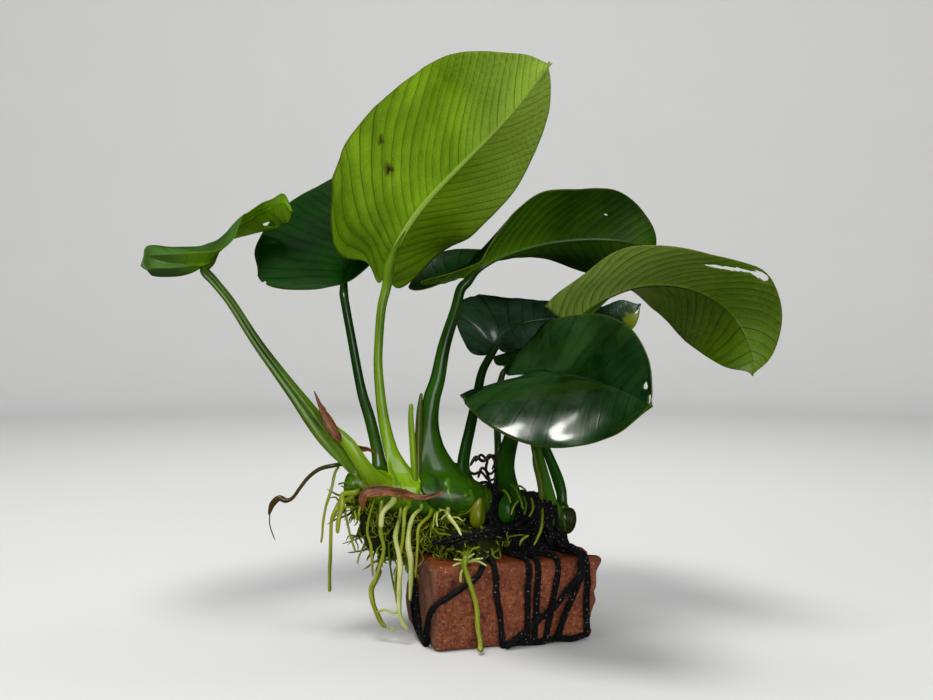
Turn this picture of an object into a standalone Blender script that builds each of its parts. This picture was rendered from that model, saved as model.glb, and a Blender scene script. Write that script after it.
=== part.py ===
"""Anubias on stone: a plant with a creeping stem, tied with black yarn to a broken piece of red brick.

The scene is in metres with +Z up. The origin is the middle of the stone's flat underside, and the plant
is seen from the front along +Y, with +X to the right. Shapes are written in millimetres, and MM turns
them to metres when an object is made.
"""

import math

import bmesh
import bpy
import numpy as np

MM = 0.001
GAP = 0.35  # left between pieces that touch

# The stone, a piece broken from a brick: length, depth and height, and how far it is turned.
STONE_SIZE = np.array((58.0, 42.0, 28.5))
STONE_TURN = math.radians(17)
STONE_EDGE = 2.6  # rounding of its edges
STONE_CELLS = (10, 8, 5)
STONE_BREAK = 1.6  # how far its broken ends wander

# The creeping stem, from the growing tip at the left to the old brown knob at the right.
RHIZOME_PATH = (
    (-52, -9, 54), (-44, -7, 52), (-35, -4, 50), (-24, -1, 48.5), (-13, 1, 47),
    (-4, 5.5, 43.5), (7, 9.5, 40.5), (18, 11.5, 38.5), (27, 12.5, 37),
)
RHIZOME_RADII = (4.4, 6.2, 7.2, 7.8, 7.4, 6.4, 6.2, 6.4, 4.6)
RHIZOME_RING_STEP = 3.6  # spacing of its leaf scars
RHIZOME_SCAR = 0.35  # how far every second ring stands in

STALK_STEP = 7.5  # spacing of the points along a stalk, a shoot and a root
SHOOT_STEP = 4.0
ROOT_STEP = 5.0

BLADE_THICKNESS = 0.9
BLADE_ROWS = 14
BLADE_COLUMNS = 4  # on each side of the midrib

# Half of a flat blade, from the notch at the stalk round the basal lobe to the tip. First along the
# midrib, as a fraction of the blade's length or, where negative, of its lobe's, then across.
BLADE_OUTLINE = (
    (0, 0), (-0.35, 0.07), (-0.85, 0.22), (-1.0, 0.45), (-0.62, 0.78), (0.02, 0.95), (0.22, 1.0),
    (0.42, 0.97), (0.62, 0.82), (0.80, 0.53), (0.92, 0.22), (0.975, 0.05), (1, 0),
)

# Each leaf. midrib: from the stalk's top to the tip, as a curve with two handles. up: where the upper side
# faces at the base and at the tip. Pairs are the left and the right half, looking from base to tip:
# half width, length of the basal lobe, how wide that lobe is, rise of the half from the midrib and how
# much it curls on by its margin, both in degrees. droop: how far the lobes hang. seat: the place of the
# stalk on the creeping stem, as a fraction of its length and an angle round it, 90 being on top and 180
# in front. stalk: the points above the seat. radii: of the stalk, from the seat to the top. short: how
# far before the blade it ends, where its lobes stand close.
LEAVES = {
    "far_left": dict(
        midrib=((-103, -11.5, 131.5), (-98, -6.5, 132.5), (-103.5, 37.5, 168), (-79.5, 23.5, 153.5)),
        up=((-0.2, -0.05, 1), (-0.4, 0.5, 0.75)), width=(32.5, 8), lobe=(16, 22), spread=(0.7, 0.9),
        rise=(-22, 24), curl=(70, -11), droop=-3.5,
        seat=(0.0, 97), stalk=((-54.5, -10, 63.5), (-62, -11.5, 73), (-69.5, -12.5, 83.5), (-77, -12.5, 93.5),
                                (-85, -12.5, 104.5), (-93.5, -12, 117.5), (-99.5, -12, 125)),
        radii=(3.8, 3.6, 2.8, 2.3, 1.9, 1.7, 1.6, 1.6, 1.7)),
    "back_left": dict(
        midrib=((-59, 21.5, 126), (-58, 51.5, 150.5), (-48, 60.5, 170.5), (-52.5, 75, 178)),
        up=((-0.25, -0.75, 0.6), (0, 0.3, 0.95)), width=(36.5, 27), lobe=(5, 2.5), spread=(1.1, 0.8),
        rise=(23, 33), curl=(-11, -14), droop=1,
        seat=(0.15, 60), stalk=((-44.5, 3.5, 67.5), (-47, 6.5, 76), (-50.5, 10, 86.5), (-54.5, 14.5, 105),
                                (-57.5, 18, 119.5)),
        radii=(2.6, 2.3, 2.1, 2, 1.7, 1.6, 1.7)),
    "tall": dict(
        midrib=((-39, 0.5, 132.5), (-30.5, -19, 154), (-2, -28.5, 169), (14.5, -53, 189)),
        up=((-0.1, 0.95, 0.2), (0, 0.9, 0.4)), width=(27.5, 49), lobe=(11.5, 12), spread=(0.7, 1),
        rise=(43, 46), curl=(-18, 7), droop=1,
        seat=(0.225, 100), stalk=((-37, -5.5, 62.5), (-39.5, -5, 69), (-41.5, -4, 79.5), (-43, -2, 93.5),
                                 (-43, -1, 102.5), (-42, -0.5, 115.5), (-40, 0, 124.5)),
        radii=(4.6, 3.9, 2.8, 2.2, 1.8, 1.6, 1.6, 1.7, 1.9)),
    "arching": dict(
        midrib=((-12, 18.5, 129), (21.5, 29, 151.5), (61.5, 15, 140.5), (63, 33.5, 140)),
        up=((0.2, 0.25, 0.95), (-0.25, 0.95, 0.1)), width=(32, 29), lobe=(18, 18.5), spread=(0.9, 1),
        rise=(15, 11), curl=(51, -36), droop=-4,
        seat=(0.375, 92), stalk=((-24, 1, 64.5), (-24.5, 4.5, 79), (-22, 7, 90), (-19.5, 10, 102.5),
                                (-15.5, 14.5, 115.5), (-13.5, 17, 123.5)),
        radii=(5.4, 3.4, 3, 2.5, 2.2, 2.1, 1.9, 1.9)),
    "centre_dark": dict(
        midrib=((3, 40.5, 105.5), (11, 35, 119), (51, 42, 108), (58.5, 49.5, 118)),
        up=((0.45, -0.55, 0.7), (0, -0.1, 1)), width=(26.5, 12.5), lobe=(11.5, 4), spread=(0.7, 1),
        rise=(21, -19), curl=(-65, -26), droop=2,
        seat=(0.51, 70), stalk=((-12.5, 10, 59.5), (-10, 20, 70.5), (-7.4, 29, 81.5), (-5.2, 35, 91.5), (-1.5, 39.5, 98.5)),
        radii=(2.8, 2.5, 2.2, 2, 1.8, 1.6, 1.6), short=4),
    "small_middle": dict(
        midrib=((3.5, 11.5, 95), (22.5, 18, 99.5), (32, 10, 105.5), (41.5, 18, 107.5)),
        up=((0.1, -0.45, 0.9), (0.5, -0.7, 0.5)), width=(9, 17), lobe=(2, 2), spread=(1.3, 0.9),
        rise=(2, 9), curl=(-9, 10), droop=1.5,
        seat=(0.66, 75), stalk=((0.5, 13.5, 63), (0, 13, 82), (1.5, 12, 89.5)),
        radii=(1.8, 1.4, 1.3, 1.2, 1.1)),
    "front_glossy": dict(
        midrib=((10.5, -23.5, 93.5), (24.5, -46.5, 97), (45.5, -62.5, 84), (40.5, -75.5, 87)),
        up=((0, -0.15, 1), (-0.55, -0.5, 0.65)), width=(22.5, 32), lobe=(11.5, 26.5), spread=(0.9, 0.8),
        rise=(36, -7), curl=(12, -15), droop=6,
        seat=(0.70, 118), stalk=((2.5, -1, 57.5), (3, -5.5, 63.5), (4.5, -10.5, 70.5), (7, -17.5, 81)),
        radii=(3.8, 3.5, 3.3, 3, 2.4, 2)),
    "right_drooping": dict(
        midrib=((29, 4.5, 112), (54, -10, 139), (96, -4.5, 118), (90, -7, 91.5)),
        up=((-0.25, 0.25, 0.95), (-0.05, 0.65, 0.75)), width=(39.5, 27), lobe=(8, 2), spread=(1, 0.8),
        rise=(24, -1), curl=(-16, 14), droop=-0.5,
        seat=(0.88, 110), stalk=((16.5, 5.5, 56.5), (14, 3, 66), (13, -2.5, 79), (16, -5.5, 92.5),
                                 (21.5, -3.5, 104)),
        radii=(2.6, 2.2, 2, 1.9, 1.7, 1.6, 1.6)),
}
SEAT_GAP = 0.5  # between the creeping stem's skin and what grows from it

# Other growth with a stalk's form: seat as above or None, its points, and its radii from end to end.
SHOOTS = {
    "spent_stalk": dict(
        seat=(0.95, 75), points=((22.5, 14, 53.5), (18.5, 13.5, 63.5), (16, 13, 70.5), (14.5, 12.5, 76.5)),
        radii=(2.4, 2.4, 2, 1.6, 1.4, 1), colour="stalk_dark"),
    "spindle_bud": dict(
        seat=(0.11, 150), points=((-47, -15.5, 61), (-51.5, -16, 68), (-56, -16, 73), (-58.5, -16, 75.5)),
        radii=(1.8, 2, 2.4, 2.3, 1.5, 0.5), colour="stalk_pale"),
    "sheath_arching": dict(
        seat=None, points=((-29.5, -4.5, 60), (-30.2, -3.5, 67), (-30, -1.5, 75.5), (-28.2, 0, 83), (-26.5, 1.5, 88.5)),
        radii=(1.2, 1.4, 1.4, 1, 0.5), colour="stalk_pale"),
    "sheath_split": dict(
        seat=None, points=((-33, -8.5, 63.5), (-32.3, -7.5, 69), (-32.8, -6.5, 74), (-33, -6, 79), (-32, -6, 82)),
        radii=(0.8, 1, 1.1, 1, 0.7), colour="stalk_pale"),
    "sheath_right": dict(
        seat=None, points=((15.2, -0.5, 48.5), (14, 0, 53.5), (12, 0, 60), (11, 0.5, 64.5)),
        radii=(1.2, 1.3, 1.1, 0.5), colour="stalk_pale"),
    "yellow_bud": dict(
        seat=None, points=((-5, -7.5, 38.5), (-5.5, -7, 41), (-6.5, -6.5, 44.5), (-7, -6, 47.5)),
        radii=(1.2, 2.3, 2.2, 0.7), colour="bud_yellow"),
    "green_bud": dict(
        seat=None, points=((3, -5, 39), (3, -5, 41.5), (3, -4.5, 45), (2.5, -4, 48)),
        radii=(1.6, 3, 2.8, 0.8), colour="bud_green"),
    "dying_stalk": dict(
        seat=None, points=((-60, -10.5, 62), (-64, -12.5, 59.5), (-69, -13.5, 55), (-72.5, -14.5, 49),
                           (-75.5, -14.5, 49), (-78, -14.5, 48.5), (-79.5, -15.5, 45)),
        radii=(0.9, 0.9, 0.9, 0.9, 0.8, 1, 0.5), colour="dried"),
}

# Roots: seat as above, their points, and their radii at both ends.
ROOTS = (
    ((0.32, 203), ((-30, -16.5, 41.5), (-31, -17.5, 34), (-31.5, -18.5, 25.5), (-30.5, -18.5, 15.5)), (1.3, 1.2)),
    ((0.27, 200), ((-34.5, -15.5, 44.5), (-34, -17, 39.5), (-33.5, -18.5, 32.5), (-34, -20.5, 24), (-34, -20.5, 15)),
     (1.1, 0.8)),
    ((0.20, 195), ((-40.5, -16.5, 44.5), (-41.5, -17.5, 39)), (1.4, 1.2)),
    ((0.36, 212), ((-26, -17.5, 40.5), (-27, -19, 33.5), (-27.8, -20, 23)), (1, 0.8)),
    ((0.40, 205), ((-22, -13.8, 43.5), (-22.5, -16.5, 39)), (0.9, 0.6)),
    ((0.435, 203), ((-17.5, -16.5, 43.5), (-14.5, -22, 39.5)), (1.2, 0.7)),
    ((0.245, 222), ((-36.8, -14, 38.5), (-36.8, -15, 30), (-36, -16, 18.5), (-35, -17, 9), (-32, -18, 4.1)), (1.1, 0.9)),
    ((0.155, 214), ((-43, -15, 39.5), (-42.5, -15, 31.5), (-43.5, -15.5, 23), (-44.5, -16, 14.5), (-43.5, -16, 8.5),
                    (-40.5, -16, 4.2)), (1.3, 0.9)),
    ((0.12, 216), ((-46.5, -13.5, 39.5), (-47, -14, 31), (-46.5, -14, 21.5)), (0.9, 0.5)),
    ((0.02, 200), ((-53.5, -15.5, 48.5), (-57, -15.5, 42.5), (-58.5, -15.5, 31.5), (-58.5, -16.5, 17)), (1, 0.9)),
    (None, ((-57.8, -14.5, 56), (-60.5, -15.3, 49.5), (-62.3, -15.7, 42.5), (-63, -16.5, 34.5)), (0.8, 0.6)),
    ((0.06, 211), ((-52, -16, 44), (-54, -17, 39.5), (-54.5, -17.2, 34.5)), (1.3, 1)),
    ((0.095, 190), ((-47.5, -16.5, 47.5), (-48, -17, 43.5)), (0.8, 0.6)),
    (None, ((-13, -22.5, 34.5), (-12.5, -26, 34), (-11.5, -29.2, 30.5), (-10, -29.5, 23.5), (-9, -28.5, 14.5),
            (-8, -28.2, 6.5), (-7, -29.5, 1.7)), (1.4, 1.2)),
    (None, ((7, -16.5, 36.5), (9, -17.5, 38.5), (11.5, -17.5, 39.5)), (0.5, 0.6)),
    (None, ((16, -3.5, 44.5), (15.8, -9.5, 43), (14.5, -13.5, 38), (12, -16, 35.5)), (0.7, 0.5)),
)

# Dried brown scales: ribbons along points, with a width and the side that they face.
SCALES = {
    "dried_scale_front": dict(
        points=((-47, -19, 46.5), (-46, -19, 51.5), (-41, -17.5, 52.5), (-36, -16, 52), (-31, -14, 50.5), (-26, -13, 49.5),
                (-19, -12.5, 51.5)),
        width=2.8, facing=(0, -1, 0.3)),
    "dried_scale_bud": dict(
        points=((-56, -19, 68), (-58.5, -19, 73), (-60.5, -19, 78), (-62.5, -18.5, 82.5), (-65, -18, 86)),
        width=2.6, facing=(0, -1, 0)),
}
SCALE_THICKNESS = 0.7

# Packed growth between the creeping stem and the stone, in sections along the stem: fraction of its
# length, reach in front and behind, and the height of its underside.
MOSS_SECTIONS = (
    (0.06, 2.5, 7, 35.5), (0.11, 3, 9, 29.5), (0.18, 4, 10, 26.5), (0.26, 4.5, 10, 26.5), (0.33, 6, 10, 29),
    (0.40, 11, 10, 29), (0.47, 17, 10, 29), (0.54, 19, 9, 29), (0.60, 18, 8, 29),
)
WINDING_SECTIONS = (
    (0.63, 17, 5, 29), (0.70, 19, 7, 29), (0.77, 20, 7, 29), (0.84, 19, 7, 29), (0.92, 16, 7, 29),
    (0.98, 12, 7, 29),
)
PACKING_ARC = (232, 335, 7)  # the part of the stem's underside that it follows, in degrees, and its points
PACKING_GAP = 0.85

# Yarn. Each upright tie on the front or the back is given by where it crosses the stone's upper edge and
# where it ends at the lower one, along the face.
YARN_RADIUS = 1.0
TIE_OFF = YARN_RADIUS + GAP  # from the stone's skin to the yarn's middle
CROSSING_OFF = TIE_OFF + 2 * YARN_RADIUS + GAP
LEFT, BACK, TOP = -STONE_SIZE[0] / 2, STONE_SIZE[1] / 2, STONE_SIZE[2]
FRONT = -BACK
TIE_FOOT, CROSSING_FOOT = 1.2, 2.2  # heights of their ends on the stone's box, before they stand off
FRONT_TIES = {
    "tie_front_1": (-8.5, -6), "tie_front_2": (3.8, 2.7), "tie_front_3": (7.4, 5.6), "tie_front_4": (14.8, 9.8),
    "tie_front_5": (25.4, 25),
}
BACK_TIES = {"tie_back_1": (-7, -5), "tie_back_2": (5, 6), "tie_back_3": (14, 13)}
# Ties that run otherwise: the points are on the stone's box, and off is how far they stand off.
OTHER_TIES = {
    "tie_front_left": dict(
        off=TIE_OFF + 0.4, points=((-14.5, FRONT, 24.2), (-20, FRONT, 20), (-25.9, FRONT, 15.5), (LEFT, FRONT, 13),
                             (LEFT, -17.5, 9.5), (LEFT, -13, 2.6), (LEFT, -12.5, TIE_FOOT))),
    "tie_front_cross": dict(
        off=CROSSING_OFF, points=((22.6, FRONT, TOP), (21.5, FRONT, 23.4), (13, FRONT, 14), (-3.5, FRONT, 3.2),
                                  (-4.4, FRONT, CROSSING_FOOT))),
    "tie_front_slant": dict(
        off=CROSSING_OFF, points=((18.6, FRONT, 16), (16.5, FRONT, 10), (13.5, FRONT, 3.2),
                                  (13, FRONT, CROSSING_FOOT))),
    "tie_left": dict(off=TIE_OFF + 0.4, points=((LEFT, 4, 23.4), (LEFT, 1, 12), (LEFT, -4, 2.6), (LEFT, -4, TIE_FOOT))),
}
# The turns of yarn wrapped round the stem: from and to, as fractions of its length, and their thickness.
WRAP_SPAN = (0.755, 0.845)
WRAP_ARC = (-20, 196)  # as much of the stem's girth as they cover, in degrees
WRAP_THICKNESS = 1.8

COLOURS = {
    "stone": ((0.30, 0.085, 0.045), 0.9),
    "rhizome": ((0.10, 0.20, 0.02), 0.4),
    "blade_dark": ((0.012, 0.075, 0.012), 0.2),
    "blade_light": ((0.16, 0.28, 0.015), 0.35),
    "stalk_dark": ((0.03, 0.08, 0.012), 0.35),
    "stalk_green": ((0.07, 0.17, 0.015), 0.35),
    "stalk_pale": ((0.28, 0.38, 0.07), 0.4),
    "bud_yellow": ((0.35, 0.33, 0.03), 0.4),
    "bud_green": ((0.05, 0.16, 0.02), 0.35),
    "root": ((0.42, 0.48, 0.12), 0.45),
    "moss": ((0.12, 0.16, 0.02), 0.8),
    "dried": ((0.19, 0.07, 0.02), 0.7),
    "yarn": ((0.006, 0.006, 0.01), 0.85),
}
LIGHT_BLADES = ("tall", "right_drooping", "arching")
DARK_STALKS = ("back_left", "centre_dark", "small_middle", "front_glossy")


def clear_scene():
    for obj in list(bpy.data.objects):
        bpy.data.objects.remove(obj, do_unlink=True)


def material(name):
    """The plain material of a part, made once for each colour name."""
    if name in bpy.data.materials:
        return bpy.data.materials[name]
    colour, roughness = COLOURS[name]
    made = bpy.data.materials.new(name)
    made.use_nodes = True
    shader = made.node_tree.nodes["Principled BSDF"]
    shader.inputs["Base Color"].default_value = (*colour, 1)
    shader.inputs["Roughness"].default_value = roughness
    return made


def place(name, data, colour):
    """An object of the plant's collection that shows data, in its own colour."""
    obj = bpy.data.objects.new(name, data)
    bpy.data.collections["anubias_on_stone"].objects.link(obj)
    own = material(colour).copy()
    own.name = name
    data.materials.append(own)
    return obj


def unit(v):
    return v / np.maximum(np.linalg.norm(v, axis=-1, keepdims=True), 1e-9)


def smooth_curve(points, t):
    """Points of a Catmull-Rom curve through the given ones, at fractions t of its run."""
    points = np.asarray(points, float)
    if points.ndim == 1:
        points = points[:, None]
    spans = len(points) - 1
    padded = np.vstack([2 * points[0] - points[1], points, 2 * points[-1] - points[-2]])
    place_on = np.clip(np.asarray(t, float), 0, 1) * spans
    i = np.minimum(place_on.astype(int), spans - 1)
    f = (place_on - i)[..., None]
    a, b, c, d = padded[i], padded[i + 1], padded[i + 2], padded[i + 3]
    return 0.5 * (2 * b + (c - a) * f + (2 * a - 5 * b + 4 * c - d) * f**2 + (3 * b - a - 3 * c + d) * f**3)


def tube(name, points, radii, colour, sides=2):
    """A round stem through points in mm, with a radius at each of them."""
    data = bpy.data.curves.new(name, "CURVE")
    data.dimensions = "3D"
    data.fill_mode = "FULL"
    data.bevel_depth = MM
    data.bevel_resolution = sides
    data.use_fill_caps = True
    spline = data.splines.new("POLY")
    spline.points.add(len(points) - 1)
    for spot, point, radius in zip(spline.points, points, radii):
        spot.co = (*(np.asarray(point) * MM), 1)
        spot.radius = radius
    spline.use_smooth = True
    return place(name, data, colour)


def rhizome_frame(t):
    """Centre, radius, horizontal way to the back and upward way of the creeping stem at fraction t."""
    centre = smooth_curve(RHIZOME_PATH, t)
    step = 0.01
    along = unit(smooth_curve(RHIZOME_PATH, min(t + step, 1)) - smooth_curve(RHIZOME_PATH, max(t - step, 0)))
    back = unit(np.cross((0, 0, 1), along))
    return centre, smooth_curve(RHIZOME_RADII, t)[0], back, np.cross(along, back)


def on_rhizome(t, degrees, off):
    """A point that stands off the creeping stem's skin, at an angle round it: 90 on top, 180 in front."""
    centre, radius, back, up = rhizome_frame(t)
    angle = math.radians(degrees)
    return centre + (radius + off) * (math.cos(angle) * back + math.sin(angle) * up)


def seat_on_rhizome(t, degrees):
    """A point of the creeping stem's skin, and the way straight out of it."""
    centre, skin = rhizome_frame(t)[0], on_rhizome(t, degrees, 0)
    step = 0.02
    along = unit(on_rhizome(min(t + step, 1), degrees, 0) - on_rhizome(max(t - step, 0), degrees, 0))
    outward = skin - centre
    return skin, unit(outward - (outward @ along) * along)


def refined(points, radii, spacing):
    """A smooth run of points through the given ones, about spacing apart, and the radii there."""
    points, radii = np.asarray(points, float), np.asarray(radii, float)
    run = np.r_[0, np.cumsum(np.linalg.norm(np.diff(points, axis=0), axis=1))]
    count = max(int(round(run[-1] / spacing)), 2) + 1
    place_on = np.interp(np.linspace(0, run[-1], count), run, np.arange(len(points)))
    radius_places = np.linspace(0, len(points) - 1, len(radii))
    return smooth_curve(points, place_on / (len(points) - 1)), np.interp(place_on, radius_places, radii)


def grown(seat, points, radii, spacing):
    """Points and radii of a smooth stem. One with a seat is first led straight out of it."""
    if seat is None:
        return refined(points, radii, spacing)
    skin, outward = seat_on_rhizome(*seat)
    first = skin + outward * SEAT_GAP
    neck = first + outward * (1.2 + 0.35 * radii[0])
    run, spread = refined([neck, *points], radii[1:] if len(radii) > 2 else radii, spacing)
    return np.vstack([first, run]), np.r_[radii[0], spread]


def build_rhizome():
    length = np.linalg.norm(np.diff(np.array(RHIZOME_PATH, float), axis=0), axis=1).sum()
    t = np.linspace(0, 1, int(length / RHIZOME_RING_STEP) + 1)
    radii = smooth_curve(RHIZOME_RADII, t)[:, 0] - RHIZOME_SCAR * (np.arange(len(t)) % 2)
    points = smooth_curve(RHIZOME_PATH, t)
    ends = [points[0] - 2.2 * unit(points[1] - points[0]), points[-1] + 2.4 * unit(points[-1] - points[-2])]
    points = np.vstack([ends[0], points, ends[1]])
    tube("rhizome", points, np.r_[radii[0] * 0.5, radii, radii[-1] * 0.55], "rhizome", sides=4)


def midrib_curve(handles, t):
    a, b, c, d = (np.array(p, float) for p in handles)
    t = np.asarray(t, float)[..., None]
    return (1 - t) ** 3 * a + 3 * t * (1 - t) ** 2 * b + 3 * t**2 * (1 - t) * c + t**3 * d


def half_blade(leaf, side, t, v):
    """One half of a blade: rows along the outline t, columns from the midrib to the margin v.

    A flat half is drawn first: each row runs from the midrib to a point of BLADE_OUTLINE. It is then laid
    along the midrib's curve, across which it rises at an angle that changes evenly towards the margin.
    """
    which = 0 if side < 0 else 1
    width, lobe = leaf["width"][which], leaf["lobe"][which]
    fine = np.linspace(0, 1, 60)
    rib = midrib_curve(leaf["midrib"], fine)
    run = np.r_[0, np.cumsum(np.linalg.norm(np.diff(rib, axis=0), axis=1))]
    length = run[-1]
    outline = smooth_curve(BLADE_OUTLINE, t)
    widening = 1 + (leaf["spread"][which] - 1) * np.clip(-1.2 * outline[:, 0], 0, 1)
    edge_along = np.where(outline[:, 0] < 0, lobe, length) * outline[:, 0]
    edge_across = np.maximum(outline[:, 1], 0) * widening * width
    rib_along = length * t**1.15
    along = rib_along[:, None] + (edge_along - rib_along)[:, None] * v
    across = edge_across[:, None] * v
    at = np.interp(np.clip(along, 0, length), run, fine)
    forward = unit(np.gradient(rib, axis=0))
    forward = unit(np.stack([np.interp(at, fine, forward[:, k]) for k in range(3)], -1))
    up0, up1 = (np.array(u, float) for u in leaf["up"])
    up = up0 + (up1 - up0) * np.clip(along / length, 0, 1)[..., None]
    normal = unit(up - (up * forward).sum(-1, keepdims=True) * forward)
    right = np.cross(forward, normal)
    behind = np.minimum(along, 0)
    hang = leaf["droop"] * (behind / lobe) ** 2
    spine = midrib_curve(leaf["midrib"], at) + forward * behind[..., None] - normal * hang[..., None]
    rise, curl = math.radians(leaf["rise"][which]), math.radians(leaf["curl"][which])
    turn = rise + curl * across / width
    out = width / curl * (np.sin(turn) - math.sin(rise))
    lift = width / curl * (math.cos(rise) - np.cos(turn))
    return spine + side * right * out[..., None] + normal * lift[..., None]


def build_blade(name, leaf):
    """A blade as an open sheet, both halves joined at the midrib, thickened evenly."""
    t = np.linspace(0, 1, BLADE_ROWS)
    v = np.linspace(0, 1, BLADE_COLUMNS + 1)
    left, right = half_blade(leaf, -1, t, v), half_blade(leaf, 1, t, v)
    grid = np.concatenate([left[:, ::-1], right[:, 1:]], axis=1)[1:-1]
    rows, columns = grid.shape[:2]
    points = np.vstack([grid.reshape(-1, 3), left[0, 0], left[-1, 0]]) * MM
    base, tip = rows * columns, rows * columns + 1
    faces = []
    for c in range(columns - 1):
        faces.append((base, c, c + 1))
        for r in range(rows - 1):
            corner = r * columns + c
            faces.append((corner, corner + columns, corner + columns + 1, corner + 1))
        faces.append(((rows - 1) * columns + c, tip, (rows - 1) * columns + c + 1))
    data = bpy.data.meshes.new(name)
    data.from_pydata(points.tolist(), [], faces)
    obj = place(name, data, "blade_light" if name[:-6] in LIGHT_BLADES else "blade_dark")
    wall = obj.modifiers.new("thickness", "SOLIDIFY")
    wall.thickness = BLADE_THICKNESS * MM
    wall.offset = 0
    data.shade_smooth()
    return obj


def build_leaf(name, leaf):
    """A blade, and the stalk that carries it from its seat on the creeping stem."""
    build_blade(name + "_blade", leaf)
    base, handle = (np.array(p, float) for p in leaf["midrib"][:2])
    below = BLADE_THICKNESS / 2 + SEAT_GAP + 0.9 * leaf["radii"][-1]
    forward, up = unit(handle - base), np.array(leaf["up"][0], float)
    top = base - below * unit(up - (up @ forward) * forward) - leaf.get("short", 0.5) * forward
    points, radii = grown(leaf["seat"], [*leaf["stalk"], top], leaf["radii"], STALK_STEP)
    tube(name + "_stalk", points, radii, "stalk_dark" if name in DARK_STALKS else "stalk_green")


def rounded(points, off=0.0):
    """Points of the stone's box, from its middle, brought to its rounded skin or a distance off it."""
    reach = STONE_SIZE / 2 - STONE_EDGE
    inner = np.clip(points, -reach, reach)
    return inner + (STONE_EDGE + off) * unit(points - inner)


def off_stone(points, off):
    """Points on the stone's box moved to stand off its skin, and turned with it."""
    middle = np.array((0, 0, STONE_SIZE[2] / 2))
    x, y, z = (rounded(np.array(points, float) - middle, off) + middle).T
    cosine, sine = math.cos(STONE_TURN), math.sin(STONE_TURN)
    return np.stack([cosine * x - sine * y, sine * x + cosine * y, z], axis=-1)


def broken_away(points):
    """The stone's two ends as they broke: shallow waves across them, and the right end drawn in below."""
    x, y, z = points.T
    right, left = np.clip(x / 20 - 0.4, 0, 1), np.clip(-x / 20 - 0.4, 0, 1)
    waves = np.sin(0.55 * y + 0.4 * z) + 0.7 * np.sin(0.31 * z - 0.9 * y + 1.3)
    drawn_in = 4.2 * np.clip(1 - z / STONE_SIZE[2], 0, 1)
    moved = points.copy()
    moved[:, 0] += right * (STONE_BREAK * waves * 0.6 + 2.2 - drawn_in)
    moved[:, 0] += left * 0.25 * STONE_BREAK * np.sin(0.4 * y - 0.3 * z)
    return moved


def build_stone():
    """A box with rounded edges and broken ends. Its underside stays flat."""
    box = bmesh.new()
    bmesh.ops.create_cube(box, size=1)
    for axis, cells in enumerate(STONE_CELLS):
        edges = [e for e in box.edges if abs(abs((e.verts[0].co - e.verts[1].co)[axis]) - 1) < 1e-6]
        bmesh.ops.subdivide_edges(box, edges=edges, cuts=cells - 1, use_grid_fill=True)
    points = rounded(np.array([v.co[:] for v in box.verts]) * STONE_SIZE)
    points[:, 2] += STONE_SIZE[2] / 2
    points = broken_away(points)
    for vertex, point in zip(box.verts, points):
        vertex.co = point * MM
    data = bpy.data.meshes.new("stone")
    box.to_mesh(data)
    box.free()
    obj = place("stone", data, "stone")
    obj.rotation_euler.z = STONE_TURN


def build_packing(name, sections, colour):
    """Packed growth that fills the space between the creeping stem and what lies under it.

    Each section is a closed outline square to the stem: it follows the stem's underside a gap away, and
    slopes down in front and behind to its own flat underside.
    """
    start, end, steps = PACKING_ARC
    rings = []
    for t, front, behind, floor in sections:
        centre, radius, back, up = rhizome_frame(t)
        arc = [on_rhizome(t, a, PACKING_GAP) for a in np.linspace(start, end, steps)]
        lift = arc[0][2] - floor
        foot, heel = centre - back * front, centre + back * behind
        outline = [(heel, 0.0), (heel, 0.5 * lift)]
        ring = [np.array((*p[:2], floor + h)) for p, h in outline]
        ring += arc[::-1]
        shoulder = arc[0] * 0.45 + foot * 0.55
        for p, h in ((shoulder, 0.7 * lift), (foot, 0.3 * lift), (foot, 0.0)):
            ring.append(np.array((*p[:2], floor + h)))
        rings.append(ring)
    count = len(rings[0])
    points = np.array(rings).reshape(-1, 3) * MM
    faces = [tuple(range(count - 1, -1, -1)), tuple(range(len(points) - count, len(points)))]
    for r in range(len(rings) - 1):
        for c in range(count):
            a, b = r * count + c, r * count + (c + 1) % count
            faces.append((a, b, b + count, a + count))
    data = bpy.data.meshes.new(name)
    data.from_pydata(points.tolist(), [], faces)
    sheet = bmesh.new()
    sheet.from_mesh(data)
    bmesh.ops.recalc_face_normals(sheet, faces=sheet.faces)
    sheet.to_mesh(data)
    sheet.free()
    place(name, data, colour)


def build_wrap():
    """The turns of yarn round the stem, as one sleeve."""
    t = np.linspace(*WRAP_SPAN, 4)
    rings = []
    for inner in (True, False):
        for at in (t if inner else t[::-1]):
            off = SEAT_GAP if inner else SEAT_GAP + WRAP_THICKNESS
            rings.append([on_rhizome(at, a, off) for a in np.linspace(*WRAP_ARC, 13)])
    points = np.array(rings)
    rows, columns = points.shape[:2]
    faces = []
    for r in range(rows):
        for c in range(columns - 1):
            a, b = r * columns + c, (r + 1) % rows * columns + c
            faces.append((a, a + 1, b + 1, b))
    faces.append(tuple(r * columns for r in range(rows)))
    faces.append(tuple(r * columns + columns - 1 for r in range(rows - 1, -1, -1)))
    data = bpy.data.meshes.new("tie_wrap")
    data.from_pydata((points.reshape(-1, 3) * MM).tolist(), [], faces)
    sheet = bmesh.new()
    sheet.from_mesh(data)
    bmesh.ops.recalc_face_normals(sheet, faces=sheet.faces)
    sheet.to_mesh(data)
    sheet.free()
    place("tie_wrap", data, "yarn")


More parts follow.
